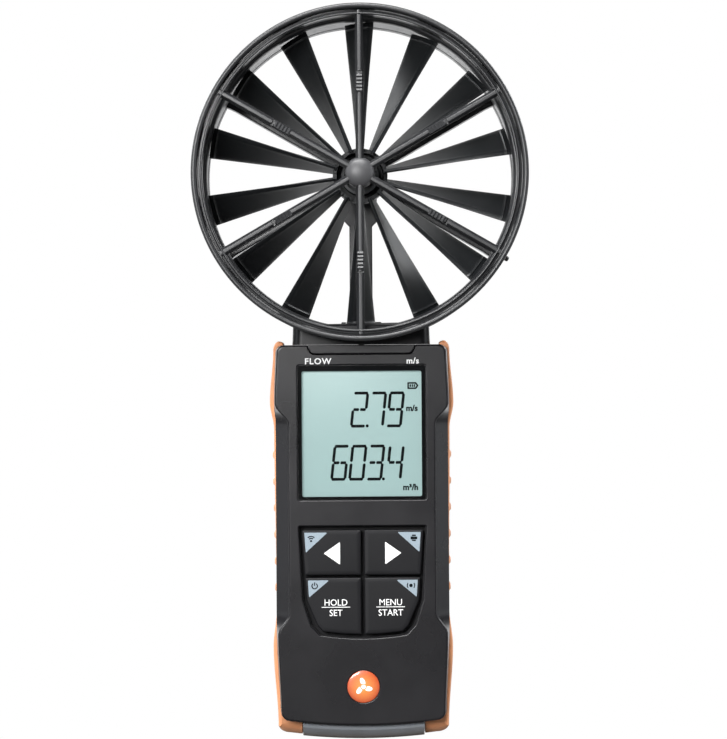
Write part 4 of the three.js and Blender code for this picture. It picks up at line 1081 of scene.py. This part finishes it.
def rear_shell():
    """Rear shell: softly rounded back, battery opening, screw wells and posts."""
    back, front, step = REAR.back, REAR.front, GRIP.back - GRIP_GAP
    sections = []
    for sin, cos in quarter(9):
        outline = handle_outline(EDGE, 0.3 + BACK_EDGE_R * (1 - sin))
        sections.append((outline, back + BACK_EDGE_R * 1.4 * (1 - cos)))
    sections += [
        (handle_outline(EDGE, 0.3), step - 0.3), (handle_outline(EDGE, 0.55), step - 0.05), (core(), step),
        (core(), front),
    ]
    hollow = loft("hollow", [
        (core(WALL + 0.6), CAVITY_BACK), (core(WALL), CAVITY_BACK + 1.2), (core(WALL), front + 1),
    ])
    shell = cut(loft("rear_casing", sections), hollow)
    posts = [rod("post", POST_R, CASING_SINK, front, place) for place in POSTS]
    posts += [rod("sleeve", 2.9, back + 1, CASING_SINK + 1.4, place) for place in POSTS]
    tools = [well("battery_opening", lambda grow: cover_outline(0.2 + grow), CAVITY_BACK + 1, back, way=-1)]
    for place in POSTS:
        tools += screw_hole(place, CASING_SINK, front + 1)
    for place in NECK_SCREWS:
        tools += screw_hole(place, NECK_SINK, -12.6)
    return shell_with("rear_casing", shell, posts, tools + shared_tools(14, -12.9, -4.3))


finish_piece(rear_shell(), CASING_PLASTIC, "root", "casing", "rear_shell")

RIB_COUNT = 6
RIB_TOP = 88.7
RIB_PITCH = 8.3
RIB_HEIGHT = 0.55
RIB_HALF = 1.35
RIB_SLOPE = 0.6
RIB_BACK_END = 2.4
RIB_FRONT_END = 2.8
RIB_FADE = 1.2
GRIP_TOP_END = 24.4
GRIP_FOOT_END = 19.2
GRIP_LOW, GRIP_HIGH = SILHOUETTE[1][0], SILHOUETTE[-2][0]
GRIP_STEPS = 230
TOE_RADIUS = 8
TOE_REACH = TOE_RADIUS * 0.8


def clamped(value):
    return min(1.0, max(0.0, value))


def rib_swell(y, depth):
    """How far the side swells out at one of its finger ribs."""
    back_end = clamped((depth - GRIP.back - RIB_BACK_END) / RIB_FADE)
    front_end = clamped((GRIP.front - RIB_FRONT_END - depth) / RIB_FADE)
    nearest = min(abs(y - RIB_TOP + i * RIB_PITCH) for i in range(RIB_COUNT))
    return RIB_HEIGHT * clamped((RIB_HALF - nearest) / RIB_SLOPE) * back_end * front_end


def toe(depth, front):
    """How far the underside of the foot has risen where it rounds up into the front."""
    ahead = min(TOE_REACH, depth - front + TOE_REACH)
    return TOE_RADIUS - math.sqrt(TOE_RADIUS**2 - ahead**2) if ahead > 0 else 0.0


def grip_outline(side, inset, depth):
    """The grip's outline at one depth: along the foot, up the ribbed side and over the top corner."""
    heights = [GRIP_LOW + (GRIP_HIGH - GRIP_LOW) * i / GRIP_STEPS for i in range(GRIP_STEPS + 1)]
    rise = inset + toe(depth, GRIP.front)
    foot_x = 23.0
    foot = [GRIP_FOOT_END + (foot_x - GRIP_FOOT_END) * i / 5 for i in range(6)]
    outer = [(x, foot_arc(x) + rise) for x in foot]
    foot_y = outer[-1][1]
    corner_x = SILHOUETTE[1][1] - inset
    top_x = SILHOUETTE[-2][1] - inset
    end_x, end_y = 25.6, GRIP.top - inset
    corner = quarter(9)[1:-1]
    for sin, cos in corner:
        outer.append((foot_x + (corner_x - foot_x) * sin, foot_y + (GRIP_LOW - foot_y) * (1 - cos)))
    outer += [(eased(SILHOUETTE, y) - inset + rib_swell(y, depth), y) for y in heights]
    for sin, cos in corner:
        outer.append((end_x + (top_x - end_x) * cos, GRIP_HIGH + (end_y - GRIP_HIGH) * sin))
    outer += [(end_x, end_y), (25, end_y - 0.15), (GRIP_TOP_END, end_y - 0.6)]
    inner = [(GRIP_FOOT_END, 5.6), (22.2, 6.1), (eased(CORE, 7.6) + GRIP_GAP, 7.9)]
    inner += [(eased(CORE, y) + GRIP_GAP, y) for y in heights if 8.2 < y < 119.5]
    inner += [
        (eased(CORE, 120.4) + GRIP_GAP, 120.6), (25, FRONT.top - 0.6), (GRIP_TOP_END, FRONT.top - 0.3),
    ]
    return mirrored(outer + inner[::-1], side)


def side_grip(side, name):
    """A soft side grip with rounded long edges and finger ribs."""
    pairs = [(inset * 0.7, depth) for inset, depth in edge_round(1.5, GRIP.back, -1, 6)]
    fade = [RIB_FADE * k / 2 for k in range(3)]
    pairs += [(0, GRIP.back + RIB_BACK_END + step) for step in fade]
    pairs += [(0, GRIP.front - RIB_FRONT_END - step) for step in reversed(fade)]
    pairs += [(inset * 0.6, depth) for inset, depth in edge_round(1.3, GRIP.front, 1, 6)]
    return loft(name, [(grip_outline(side, inset, depth), depth) for inset, depth in pairs], sharp_angle=50)


finish_piece(side_grip(1, "grip_pad_right"), ORANGE_GRIP, "root", "grip", "grip_right")
finish_piece(side_grip(-1, "grip_pad_left"), ORANGE_GRIP, "root", "grip", "grip_left")


def foot_strip():
    """The grey strip across the foot, rounded all round, with the lug that holds it."""
    half = GRIP_FOOT_END - 0.3
    xs = [-half + 2 * half * i / 28 for i in range(29)]
    high = [(x, FRONT.bottom - 0.3 + foot_arc(x) * 0.9) for x in reversed(xs)]
    sections = []
    for inset, depth in edge_round(0.8, FOOT.back, -1):
        sections.append((offset([(x, foot_arc(x)) for x in xs] + high, -inset), depth))
    for i in range(13):
        depth = FOOT.front - TOE_REACH * (1 - i / 12)
        rise = toe(depth, FOOT.front)
        sections.append(([(x, foot_arc(x) + rise) for x in xs] + high, depth))
    lug = block("lug", (-8, 2.2, -4), (8, 9, 6), 0.3)
    return resharpen(merged("foot_strip", [loft("foot_strip", sections), lug]))


finish_piece(foot_strip(), GREY_STRIP, "root", "strip", "end_cap")

RIDGES = 5
RIDGE_PITCH = 2.4


def battery_cover():
    """The flush battery cover: rounded edges, moulded finger ridges and a snap tab."""
    back = COVER.back
    plate = pillow("cover_plate", cover_outline(), back, back + 1.7, 0.35, 0.15)
    tab = block("tab", (-4, COVER.top - 2.6, back + 1.2), (4, COVER.top - 1.2, COVER.front), 0.15)
    plate = merged("battery_cover_fine", [plate, tab])
    for i in range(RIDGES):
        y = COVER.top - 6 - i * RIDGE_PITCH

        def groove(grow):
            return rounded_rect(-7 - grow, y - 0.5 - grow, 7 + grow, y + 0.5 + grow, 0.45)

        plate = cut(plate, well("groove", groove, back + 0.55, back, 0.2, -1))
    low = COVER.bottom + 5.6
    arrow = rounded([(-2.2, low + 3.4), (2.2, low + 3.4), (0, low)], 0.3)
    plate = cut(plate, well("arrow", lambda grow: offset(arrow, grow), back + 0.35, back, 0.12, -1))
    return resharpen(plate, 30)


finish_piece(battery_cover(), CASING_PLASTIC, "cover", "casing", "battery_cover")

SHANK_THREAD_R = 0.75
THREAD_PITCH = 0.56


def screw(name, node):
    """A pan-head screw seen from behind, with a tapered cross recess."""
    box = Box(node)
    radius, back, tip = box.width / 2, box.back, box.front
    profile = [(0, back)]
    profile += [(radius * (0.45 + 0.55 * sin), back + 0.55 * (1 - cos)) for sin, cos in quarter(8)[1:]]
    profile += [(radius, back + 1.4), (SHANK_THREAD_R, back + 1.4)]
    z = back + 2.0
    while z < tip - 1.2:
        profile += [(0.56, z), (SHANK_THREAD_R, z + THREAD_PITCH / 2)]
        z += THREAD_PITCH
    body = lathe(name, profile + [(0.5, tip - 0.7), (0, tip)], (box.x, box.y), 32)
    arms = []
    for w, h in ((1.0, 0.26), (0.26, 1.0)):
        wide = rounded_rect(box.x - w, box.y - h, box.x + w, box.y + h, 0.08, 2)
        arms.append(loft("arm", [(wide, back - 1), (wide, back), (offset(wide, -0.12), back + 0.75)]))
    return resharpen(cut(body, *arms), 32)


for made, kind, count in (("case_screw", "casing_screw", 4), ("head_screw", "neck_screw", 2)):
    for i in range(1, count + 1):
        finish_piece(screw(f"{made}_{i}", f"{kind}_{i}"), STEEL, "root", "steel", f"{kind}_{i}")


# ---------------------------------------------------------------- display


def window_pane():
    pane = pillow("window_pane", WINDOW.rect(0, 0.6, 6), WINDOW.back + 0.2, WINDOW.front, 0.08, 0.15)
    return resharpen(pane, 20)


def framed(name, outside, inside, back, front):
    """A flat frame between two outlines."""
    return loft(name, [(outside, back), (outside, front), (inside, front), (inside, back)], closed=True)


def window_border():
    """The black frame printed on the underside of the window."""
    outside, back = WINDOW.rect(0, 0.6, 6), WINDOW.back
    return resharpen(framed("window_border", outside, view_outline(0.6), back, back + 0.14), 20)


def lcd_pane():
    return pillow("lcd_pane", GLASS.rect(0, 0.3, 3), GLASS.back, GLASS.front - 0.06, 0.1, 0.1)


finish_piece(window_pane(), WINDOW_CLEAR, "root", "window", "display_window")
finish_piece(window_border(), BORDER_INK, "root", "window", "display_window")
finish_piece(lcd_pane(), LCD_SURFACE, "root", "lcd", "lcd_glass")

INK_BACK = GLASS.front - 0.075
INK_FRONT = GLASS.front - 0.02
STROKE_HALF = 0.45
DIGIT_WIDTH = 5.0
DIGIT_HEIGHT = 11.15
DIGIT_SLANT = 0.107
DIGIT_PITCH = 5.57
POINT_GAP = 0.45
POINT_R = 0.48
SEGMENT_GAP = 0.06
# Segments of a digit: a top, b upper right, c lower right, d bottom, e lower left, f upper left, g middle.
DIGITS = {
    "0": "abcdef", "2": "abged", "3": "abgcd", "4": "fgbc", "6": "afgedc", "7": "abc", "9": "abcdfg",
}


def ink(name, outline, back=INK_BACK, front=INK_FRONT):
    return loft(name, [(outline, back), (outline, front)])


def segment(start, end, level, tip):
    """A flat bar from start to end at a level, with pointed ends."""
    half = STROKE_HALF
    return [
        (start, level), (start + tip, level - half), (end - tip, level - half), (end, level),
        (end - tip, level + half), (start + tip, level + half),
    ]


def upright(start, end, x):
    """The same bar standing at x."""
    bar = segment(start + SEGMENT_GAP, end - SEGMENT_GAP, x, STROKE_HALF * 0.85)
    return [(across, y) for y, across in reversed(bar)]


def digit(figure, left, bottom):
    """The lit segments of one slanted figure."""
    x0, x1 = STROKE_HALF, DIGIT_WIDTH - STROKE_HALF
    y0, y1 = STROKE_HALF, DIGIT_HEIGHT - STROKE_HALF
    middle, centre = DIGIT_HEIGHT / 2, DIGIT_WIDTH / 2
    shapes = {
        "a": [segment(x0 - 0.15, x1 + 0.15, y1, 0.3)],
        "d": [segment(x0 - 0.15, x1 + 0.15, y0, 0.3)],
        "g": [
            segment(x0 + SEGMENT_GAP, centre - 0.1, middle, 0.2),
            segment(centre + 0.1, x1 - SEGMENT_GAP, middle, 0.2),
        ],
        "b": [upright(middle + 0.1, y1, x1)],
        "c": [upright(y0, middle - 0.1, x1)],
        "e": [upright(y0, middle - 0.1, x0)],
        "f": [upright(middle + 0.1, y1, x0)],
    }
    return [
        ink("segment", [(left + x + DIGIT_SLANT * y, bottom + y) for x, y in shape])
        for key in DIGITS[figure] for shape in shapes[key]
    ]


def words(text, x, y, height, levels, align="CENTER", condense=1.0, weight=0.0, spacing=1.0):
    """Printed words with their baseline at y, as flat ink between a back and a front level."""
    curve = bpy.data.curves.new("words", "FONT")
    curve.body = text
    curve.align_x = align
    curve.resolution_u = 3
    curve.offset = weight
    curve.space_character = spacing
    obj = add_object("words", curve)
    bm = bmesh.new()
    bm.from_mesh(evaluated_mesh(obj))
    bpy.data.objects.remove(obj)
    capital = 0.73
    scale = height / capital
    bmesh.ops.remove_doubles(bm, verts=bm.verts, dist=1e-4)
    for vertex in bm.verts:
        vertex.co = Vector((x + vertex.co.x * scale * condense, y + vertex.co.y * scale, levels[0]))
    bmesh.ops.recalc_face_normals(bm, faces=bm.faces)
    extruded = bmesh.ops.extrude_face_region(bm, geom=bm.faces[:])
    for item in extruded["geom"]:
        if isinstance(item, bmesh.types.BMVert):
            item.co.z = levels[1]
    return make_object("words", bm, 30)


def battery_icon(left, bottom, width, height):
    """A battery outline with three full bars inside."""
    line, bar, pitch, margin, nose_length = 0.5, 0.44, 0.64, 0.66, 0.7
    shoulder, nose = left + width - nose_length, left + width
    middle = bottom + height / 2
    outside = rounded([
        (left, bottom), (shoulder, bottom), (nose, middle - 0.1), (nose, middle + 0.1),
        (shoulder, bottom + height), (left, bottom + height),
    ], 0.25, 3)
    pieces = [framed("battery_line", outside, offset(outside, -line), INK_BACK, INK_FRONT)]
    for i in range(3):
        x = left + 0.7 + i * pitch
        pieces.append(ink("bar", rounded_rect(x, bottom + margin, x + bar, bottom + height - margin, 0.05, 2)))
    return pieces


def reading():
    """Both lines of figures with their points and units, and the battery sign."""
    reach = DIGIT_WIDTH + DIGIT_SLANT * DIGIT_HEIGHT
    pieces = []
    for figures, right, bottom, gap in (("972", 13.6, 97.2, 0), ("4306", 13.4, 80.72, POINT_GAP)):
        for i, figure in enumerate(figures):
            pieces += digit(figure, right - reach - i * DIGIT_PITCH - (gap if i > 0 else 0), bottom)
    pieces += [ink("dot", circle(x, y, POINT_R, 20)) for x, y in ((1.7, 97.7), (6.62, 81.2))]
    for text, x, y in (("m/s", 15.6, 102.3), ("m\u00b3/h", 15.05, 77.75)):
        pieces.append(words(text, x, y, 1.85, (INK_BACK, INK_FRONT), weight=0.042))
    return joined("reading", pieces + battery_icon(14.25, 109.05, 3.4, 2.15))


finish_piece(reading(), LCD_SEGMENT, "root", "lcd")


# ---------------------------------------------------------------- keys and prints

KEY_FRONT = Box("key_left").front
KEY_BACK = Box("key_left").back
KEY_TOP = 65.5
KEY_SPLIT = 51.1
ROW_GAP = 0.8
CENTRE_GAP = 1.0
WAIST, WAIST_Y = 17.45, 43.6
PRINT_LOW = KEY_FRONT - 0.3
INK_LIFT = 0.03
ICON_LINE = 0.34


def key_side(y):
    """How far out the keypad's drawn-in side is at a height."""
    wide, wide_y = 18.5, 59
    return wide - (wide_y - y) * (wide - WAIST) / (wide_y - WAIST_Y)


def key_outline(column, row, grow):
    inner = CENTRE_GAP / 2
    if row > 0:
        low = KEY_SPLIT + ROW_GAP / 2
        corners = [(inner, low), (key_side(low), low), (key_side(KEY_TOP), KEY_TOP), (inner, KEY_TOP)]
        radii = [0.35, 0.45, 0.7, 0.35]
    else:
        high = KEY_SPLIT - ROW_GAP / 2
        corners = [
            (inner, 33.1), (6.2, 33.3), (12.4, 34), (14.15, 35.9), (WAIST, WAIST_Y), (key_side(high), high),
            (inner, high),
        ]
        radii = [0.35, 3, 0.9, 1.5, 3, 0.45, 0.35]
    return grown(mirrored(corners, column), radii[::column], grow, 5)


def key_cap(column, row, name):
    """A key with a rounded edge and a slightly crowned top."""
    edge, edge_back = 0.5, KEY_FRONT - 0.6
    pairs = [(0.0, KEY_BACK), (0.0, edge_back)]
    pairs += [(edge * (1 - cos), edge_back + edge * sin) for sin, cos in quarter(6)[1:]]
    pairs += [(0.9, KEY_FRONT - 0.03), (1.4, KEY_FRONT)]
    return loft(name, [(key_outline(column, row, -inset), depth) for inset, depth in pairs], sharp_angle=60)


def printed(outline, level=0.0):
    return ink("print", outline, PRINT_LOW, KEY_FRONT + INK_LIFT + level)


def icon_part(outline):
    """A print that lies on top of a patch."""
    return printed(outline, INK_LIFT)


def stroke(points, width=ICON_LINE):
    """A printed line through points, with square ends."""
    left, right = [], []
    for i, point in enumerate(points):
        here = Vector(point)
        way = Vector(points[min(i + 1, len(points) - 1)]) - Vector(points[max(i - 1, 0)])
        normal = Vector((-way.y, way.x)).normalized() * width / 2
        left.append(tuple(here + normal))
        right.append(tuple(here - normal))
    return icon_part(right + left[::-1])


def corner_patch(column, row):
    """The pale triangle printed in a key's outer upper corner, and the middle of its icon."""
    top = (KEY_TOP if row > 0 else KEY_SPLIT - ROW_GAP / 2) - 0.75
    reach, drop = (7.2, 6.2) if row > 0 else (6.6, 5.3)
    side = key_side(top) - 0.85
    corners = [(key_side(top - drop) - 0.85, top - drop), (side, top), (side - reach, top)]
    return printed(rounded(mirrored(corners, column), 0.15, 2)), (column * (side - 2.1), top - 1.75)


def wireless_icon(x, y):
    low = y - 0.85
    arcs = [stroke(arc(x, low, radius, 45, 135, 8)) for radius in (0.85, 1.45)]
    return [icon_part(circle(x, low, 0.34, 14)), *arcs]


def printer_icon(x, y):
    body = rounded_rect(x - 1.05, y - 0.5, x + 1.05, y + 0.35, 0.15, 2)
    top = rounded_rect(x - 0.6, y + 0.5, x + 0.6, y + 0.95, 0.05, 2)
    tray = rounded_rect(x - 0.6, y - 1.0, x + 0.6, y - 0.62, 0.05, 2)
    return [icon_part(outline) for outline in (body, top, tray)]


def power_icon(x, y):
    return [stroke(arc(x, y, 0.85, 125, 415, 18)), stroke([(x, y + 0.1), (x, y + 1.15)])]


def hold_icon(x, y):
    arcs = [stroke(arc(x, y, 1.15, start, start + 80, 8), 0.32) for start in (-40, 140)]
    return [icon_part(circle(x, y, 0.55, 16)), *arcs]


def arrow(column):
    tip, base, half, middle = 12.0, 7.0, 3.5, 58.3
    corners = [(base, middle - half), (tip, middle), (base, middle + half)]
    return printed(rounded(mirrored(corners, column), 0.12, 2))


def legend(upper, lower, x):
    """A key's two words with a line between them."""
    levels = (PRINT_LOW, KEY_FRONT + INK_LIFT)
    pieces = [printed(rounded_rect(x - 4.4, 41.5, x + 4.4, 41.7, 0.05, 2))]
    for text, y in ((upper, 42.1), (lower, 38.9)):
        pieces.append(words(text, x, y, 2.05, levels, condense=0.94))
    return pieces


# Each key: CAD node, body, column, row, icon, words of its legend and their middle.
KEYS = [
    ("key_left", "left_key", -1, 1, wireless_icon, None),
    ("key_right", "right_key", 1, 1, printer_icon, None),
    ("key_mode", "mode_key", -1, -1, power_icon, ("HOLD", "SET", -8.4)),
    ("key_menu", "menu_key", 1, -1, hold_icon, ("MENU", "START", 8.6)),
]
for node, body, column, row, icon, text in KEYS:
    finish_piece(key_cap(column, row, node + "_cap"), KEY_RUBBER, body, "key", node)
    patch, place = corner_patch(column, row)
    prints = [("_patch", [patch], BLUE_INK), ("_icon", icon(*place), LCD_SEGMENT)]
    prints.append(("_legend", legend(*text), WHITE_INK) if text else ("_arrow", [arrow(column)], WHITE_INK))
    for ending, pieces, material in prints:
        finish_piece(joined(node + ending, pieces), material, body, "key")


def face_words():
    height, levels = 1.9, (FRONT.front - 0.05, FRONT.front + 0.02)
    return joined("face_words", [
        words("FLOW", -17.6, 117.0, height, levels, "LEFT", 1.06, 0.02, 1.12),
        words("m/s", 17.9, 117.0, height, levels, "RIGHT", 1.0, 0.02, 1.08),
    ])


finish_piece(face_words(), WHITE_INK, "root", "casing")


# ---------------------------------------------------------------- badge


def badge_dome():
    radius, back = BADGE.width / 2, BADGE.back
    rise = BADGE.front - back - 0.25
    profile = [(0, back), (radius - 0.15, back), (radius, back + 0.2)]
    profile += [(radius * cos, back + 0.25 + rise * sin) for sin, cos in quarter(18)[1:-1]]
    return lathe("badge_dome", profile + [(0, BADGE.front)], (BADGE.x, BADGE.y), 72)


def fan_mark():
    """A plain three-bladed fan in white, just proud of the dome."""
    level = BADGE.front + 0.01
    pieces = [ink("hub", circle(BADGE.x, BADGE.y, 0.7, 24), level - 0.4, level)]
    for i in range(3):
        cos, sin = math.cos(math.radians(90 + 120 * i)), math.sin(math.radians(90 + 120 * i))
        outline = []
        for x, y in circle(0, 0, 1, 24):
            along = 1.6 + 1.2 * x
            across = 0.78 * y + 0.28 * (along - 0.7)
            outline.append((BADGE.x + along * cos - across * sin, BADGE.y + along * sin + across * cos))
        pieces.append(ink("vane", outline, level - 0.4, level - 0.02))
    return joined("badge_mark", pieces)


finish_piece(badge_dome(), BADGE_ENAMEL, "root", "badge", "badge")
finish_piece(fan_mark(), WHITE_INK, "root", "badge")


# ---------------------------------------------------------------- inside the handle


def upright_lathe(name, profile, x, depth):
    """A body turned about an upright axis; the profile lists (radius, height) from the bottom up."""
    obj = lathe(name, profile, (0, 0), 64)
    obj.data.transform(Matrix(((1, 0, 0, x * MM), (0, 0, -1, -depth * MM), (0, -1, 0, 0), (0, 0, 0, 1))))
    bm = bmesh.new()
    bm.from_mesh(obj.data)
    bmesh.ops.recalc_face_normals(bm, faces=bm.faces)
    bm.to_mesh(obj.data)
    bm.free()
    return obj


def cell_piece(i):
    """One cell: sleeve rolled in at both ends, and its nub; the middle one is upside down."""
    box = Box(f"battery_{i}")
    radius = box.width / 2
    low, high = box.bottom, box.top
    top = high - 1.1
    profile = [
        (0, low + 0.25), (3.6, low + 0.25), (3.8, low), (radius - 0.5, low), (radius - 0.1, low + 0.15),
        (radius, low + 0.5), (radius, top - 0.5), (radius - 0.1, top - 0.15), (radius - 0.5, top), (3.4, top),
        (3.2, top - 0.3), (1.9, top - 0.3), (1.9, high - 0.25), (1.7, high), (0, high),
    ]
    if i == 2:
        profile = [(r, low + high - y) for r, y in reversed(profile)]
    return upright_lathe(f"cell_{i}", profile, box.x, box.z)


WIRE_R = 0.3
COIL_STEPS = 90
COIL_TURNS = 2.5


def coil(i):
    """The conical contact spring, drawn as a swept wire."""
    box = Box(f"contact_spring_{i}")
    low, high = box.bottom + WIRE_R, box.top - WIRE_R
    if i == 2:
        low, high = high, low
    curve = bpy.data.curves.new("coil", "CURVE")
    curve.dimensions = "3D"
    curve.bevel_depth = WIRE_R * MM
    curve.bevel_resolution = 4
    curve.use_fill_caps = True
    spline = curve.splines.new("POLY")
    spline.points.add(COIL_STEPS)
    for k, point in enumerate(spline.points):
        share = k / COIL_STEPS
        angle = TAU * COIL_TURNS * share
        radius = 3.6 - 1.6 * share
        x, z = box.x + radius * math.cos(angle), box.z + radius * math.sin(angle)
        point.co = (*to_world(x, low + (high - low) * share, z), 1)
    obj = add_object("coil", curve)
    made = add_object(f"contact_coil_{i}", evaluated_mesh(obj))
    bpy.data.objects.remove(obj)
    return resharpen(made, 50)


for i in (1, 2, 3):
    finish_piece(cell_piece(i), CELL_SLEEVE, "root", "cell", f"battery_{i}")
    finish_piece(coil(i), STEEL, "root", "steel", f"contact_spring_{i}")

KEPT = [
    (BRASS, "front_bearing rear_bearing speed_pickup"),
    (STEEL, "signal_disc switch_left switch_right switch_mode switch_menu radio_module"),
    (STEEL, "contact_plate_1 contact_plate_2 contact_plate_3"),
    (NATURAL_WHITE, "temperature_sensor backlight lcd_frame cable_socket"),
    (CHIP_BLACK, "processor buzzer"),
    (CABLE_JACKET, "sensor_cable"),
    (KEY_RUBBER, "keypad_mat"),
    (BOARD_MASK, "main_board"),
    (TRAY_BLACK, "battery_tray"),
]
for material, nodes in KEPT:
    for node in nodes.split():
        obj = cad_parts[node]
        obj.data.materials.clear()
        obj.data.materials.append(material)
        modifier = obj.modifiers.new("soft_edges", "BEVEL")
        modifier.width = 0.12 * MM
        modifier.segments = 2
        modifier.limit_method = "ANGLE"
        modifier.angle_limit = math.radians(50)


# ---------------------------------------------------------------- studio


def studio_surface():
    """Pale paper, white to the camera and clear from behind.

    It gives back less light in front of the object.
    """
    n = Nodes("studio_surface")
    behind = n.spread(n.add("SeparateXYZ", {0: n.place}, 1), 0.0, 1.0, -0.1, 0.5)
    mottled = n.spread(n.noise(0.01, 2.0), 0.98, 1.0)
    tone = n.maths("MULTIPLY", mottled, n.spread(behind, 0.1, 0.7, 0.0, 1.0))
    n.set(Base_Color=n.shade((1, 1, 1, 1), tone), Roughness=0.9)
    paper = n.add("Emission", {"Color": (1, 1, 1, 1), "Strength": 1.0})
    seen = n.add("LightPath", output="Is Camera Ray")
    both = n.add("MixShader", {0: seen, 1: n.shader.outputs[0], 2: paper})
    back_side = n.add("NewGeometry", output="Backfacing")
    n.surface(n.add("MixShader", {0: back_side, 1: both, 2: n.add("BsdfTransparent")}))
    return n.material


def sweep_backdrop():
    """A pale floor that curves up into the backdrop, in metres."""
    radius, back, front, half, height = 0.35, 0.9, -1.6, 1.8, 1.8
    drop = -0.0005
    profile = [(front, drop), (back - radius, drop)]
    profile += [(back - radius + radius * sin, drop + radius * (1 - cos)) for sin, cos in quarter(24)[1:]]
    profile.append((back, height))
    bm = bmesh.new()
    rows = [[bm.verts.new((x, y, z)) for x in (-half, half)] for y, z in profile]
    for near, far in zip(rows, rows[1:]):
        bm.faces.new((near[0], near[1], far[1], far[0])).smooth = True
    obj = mesh_object("backdrop", bm)
    obj.data.materials.append(studio_surface())


def surroundings():
    """Faint light from all round, seen as plain white by the camera."""
    world = bpy.data.worlds.new("studio")
    world.use_nodes = True
    nodes, links = world.node_tree.nodes, world.node_tree.links
    background = nodes["Background"]
    background.inputs["Color"].default_value = (1, 1, 1, 1)
    strength = nodes.new("ShaderNodeMapRange")
    strength.inputs["To Min"].default_value = 0.08
    strength.inputs["To Max"].default_value = 1.0
    links.new(nodes.new("ShaderNodeLightPath").outputs["Is Camera Ray"], strength.inputs["Value"])
    links.new(strength.outputs[0], background.inputs["Strength"])
    bpy.context.scene.world = world


MIDDLE = (0, 0, 0.12)
WHITE, COOL, COLD = (1, 1, 1), (0.96, 0.98, 1), (0.94, 0.97, 1)
# Each light: place, what it aims at, width and height, watts, colour.
LIGHTS = {
    "key_light": ((-0.3, -0.95, 0.32), MIDDLE, (0.4, 0.25), 9.5, WHITE),
    "top_light": ((-0.1, -0.4, 0.85), MIDDLE, (0.7, 0.35), 14, WHITE),
    "side_left": ((-0.75, -0.2, 0.2), MIDDLE, (0.35, 0.8), 2.0, COLD),
    "side_right": ((0.75, -0.2, 0.2), MIDDLE, (0.35, 0.8), 2.2, COLD),
    "rim_left": ((-0.6, 0.35, 0.5), MIDDLE, (0.3, 0.3), 3.5, COOL),
    "rim_right": ((0.6, 0.35, 0.5), MIDDLE, (0.3, 0.3), 3.5, COOL),
    "backdrop_light": ((0, 0.2, 0.9), (0, 0.9, 0.3), (1.6, 0.5), 8, WHITE),
}


def area_light(name, place, aim, size, power, colour):
    light = bpy.data.lights.new(name, "AREA")
    light.shape = "RECTANGLE"
    light.size, light.size_y = size
    light.energy = power
    light.color = colour
    obj = add_object(name, light)
    obj.location = place
    obj.rotation_euler = (Vector(aim) - Vector(place)).to_track_quat("-Z", "Y").to_euler()


def camera():
    """The photograph's camera: level, about a metre in front."""
    lens = bpy.data.cameras.new("camera")
    lens.lens = 158.7
    lens.sensor_width = 36
    lens.clip_start = 0.05
    lens.shift_x = -0.0145
    obj = add_object("camera", lens)
    obj.location = (0.004, -1.023, 0.1152)
    obj.rotation_euler = (math.radians(90), math.radians(0.4), 0)
    bpy.context.scene.camera = obj


sweep_backdrop()
for name, settings in LIGHTS.items():
    area_light(name, *settings)
surroundings()
bpy.context.scene.view_settings.view_transform = "Standard"
camera()
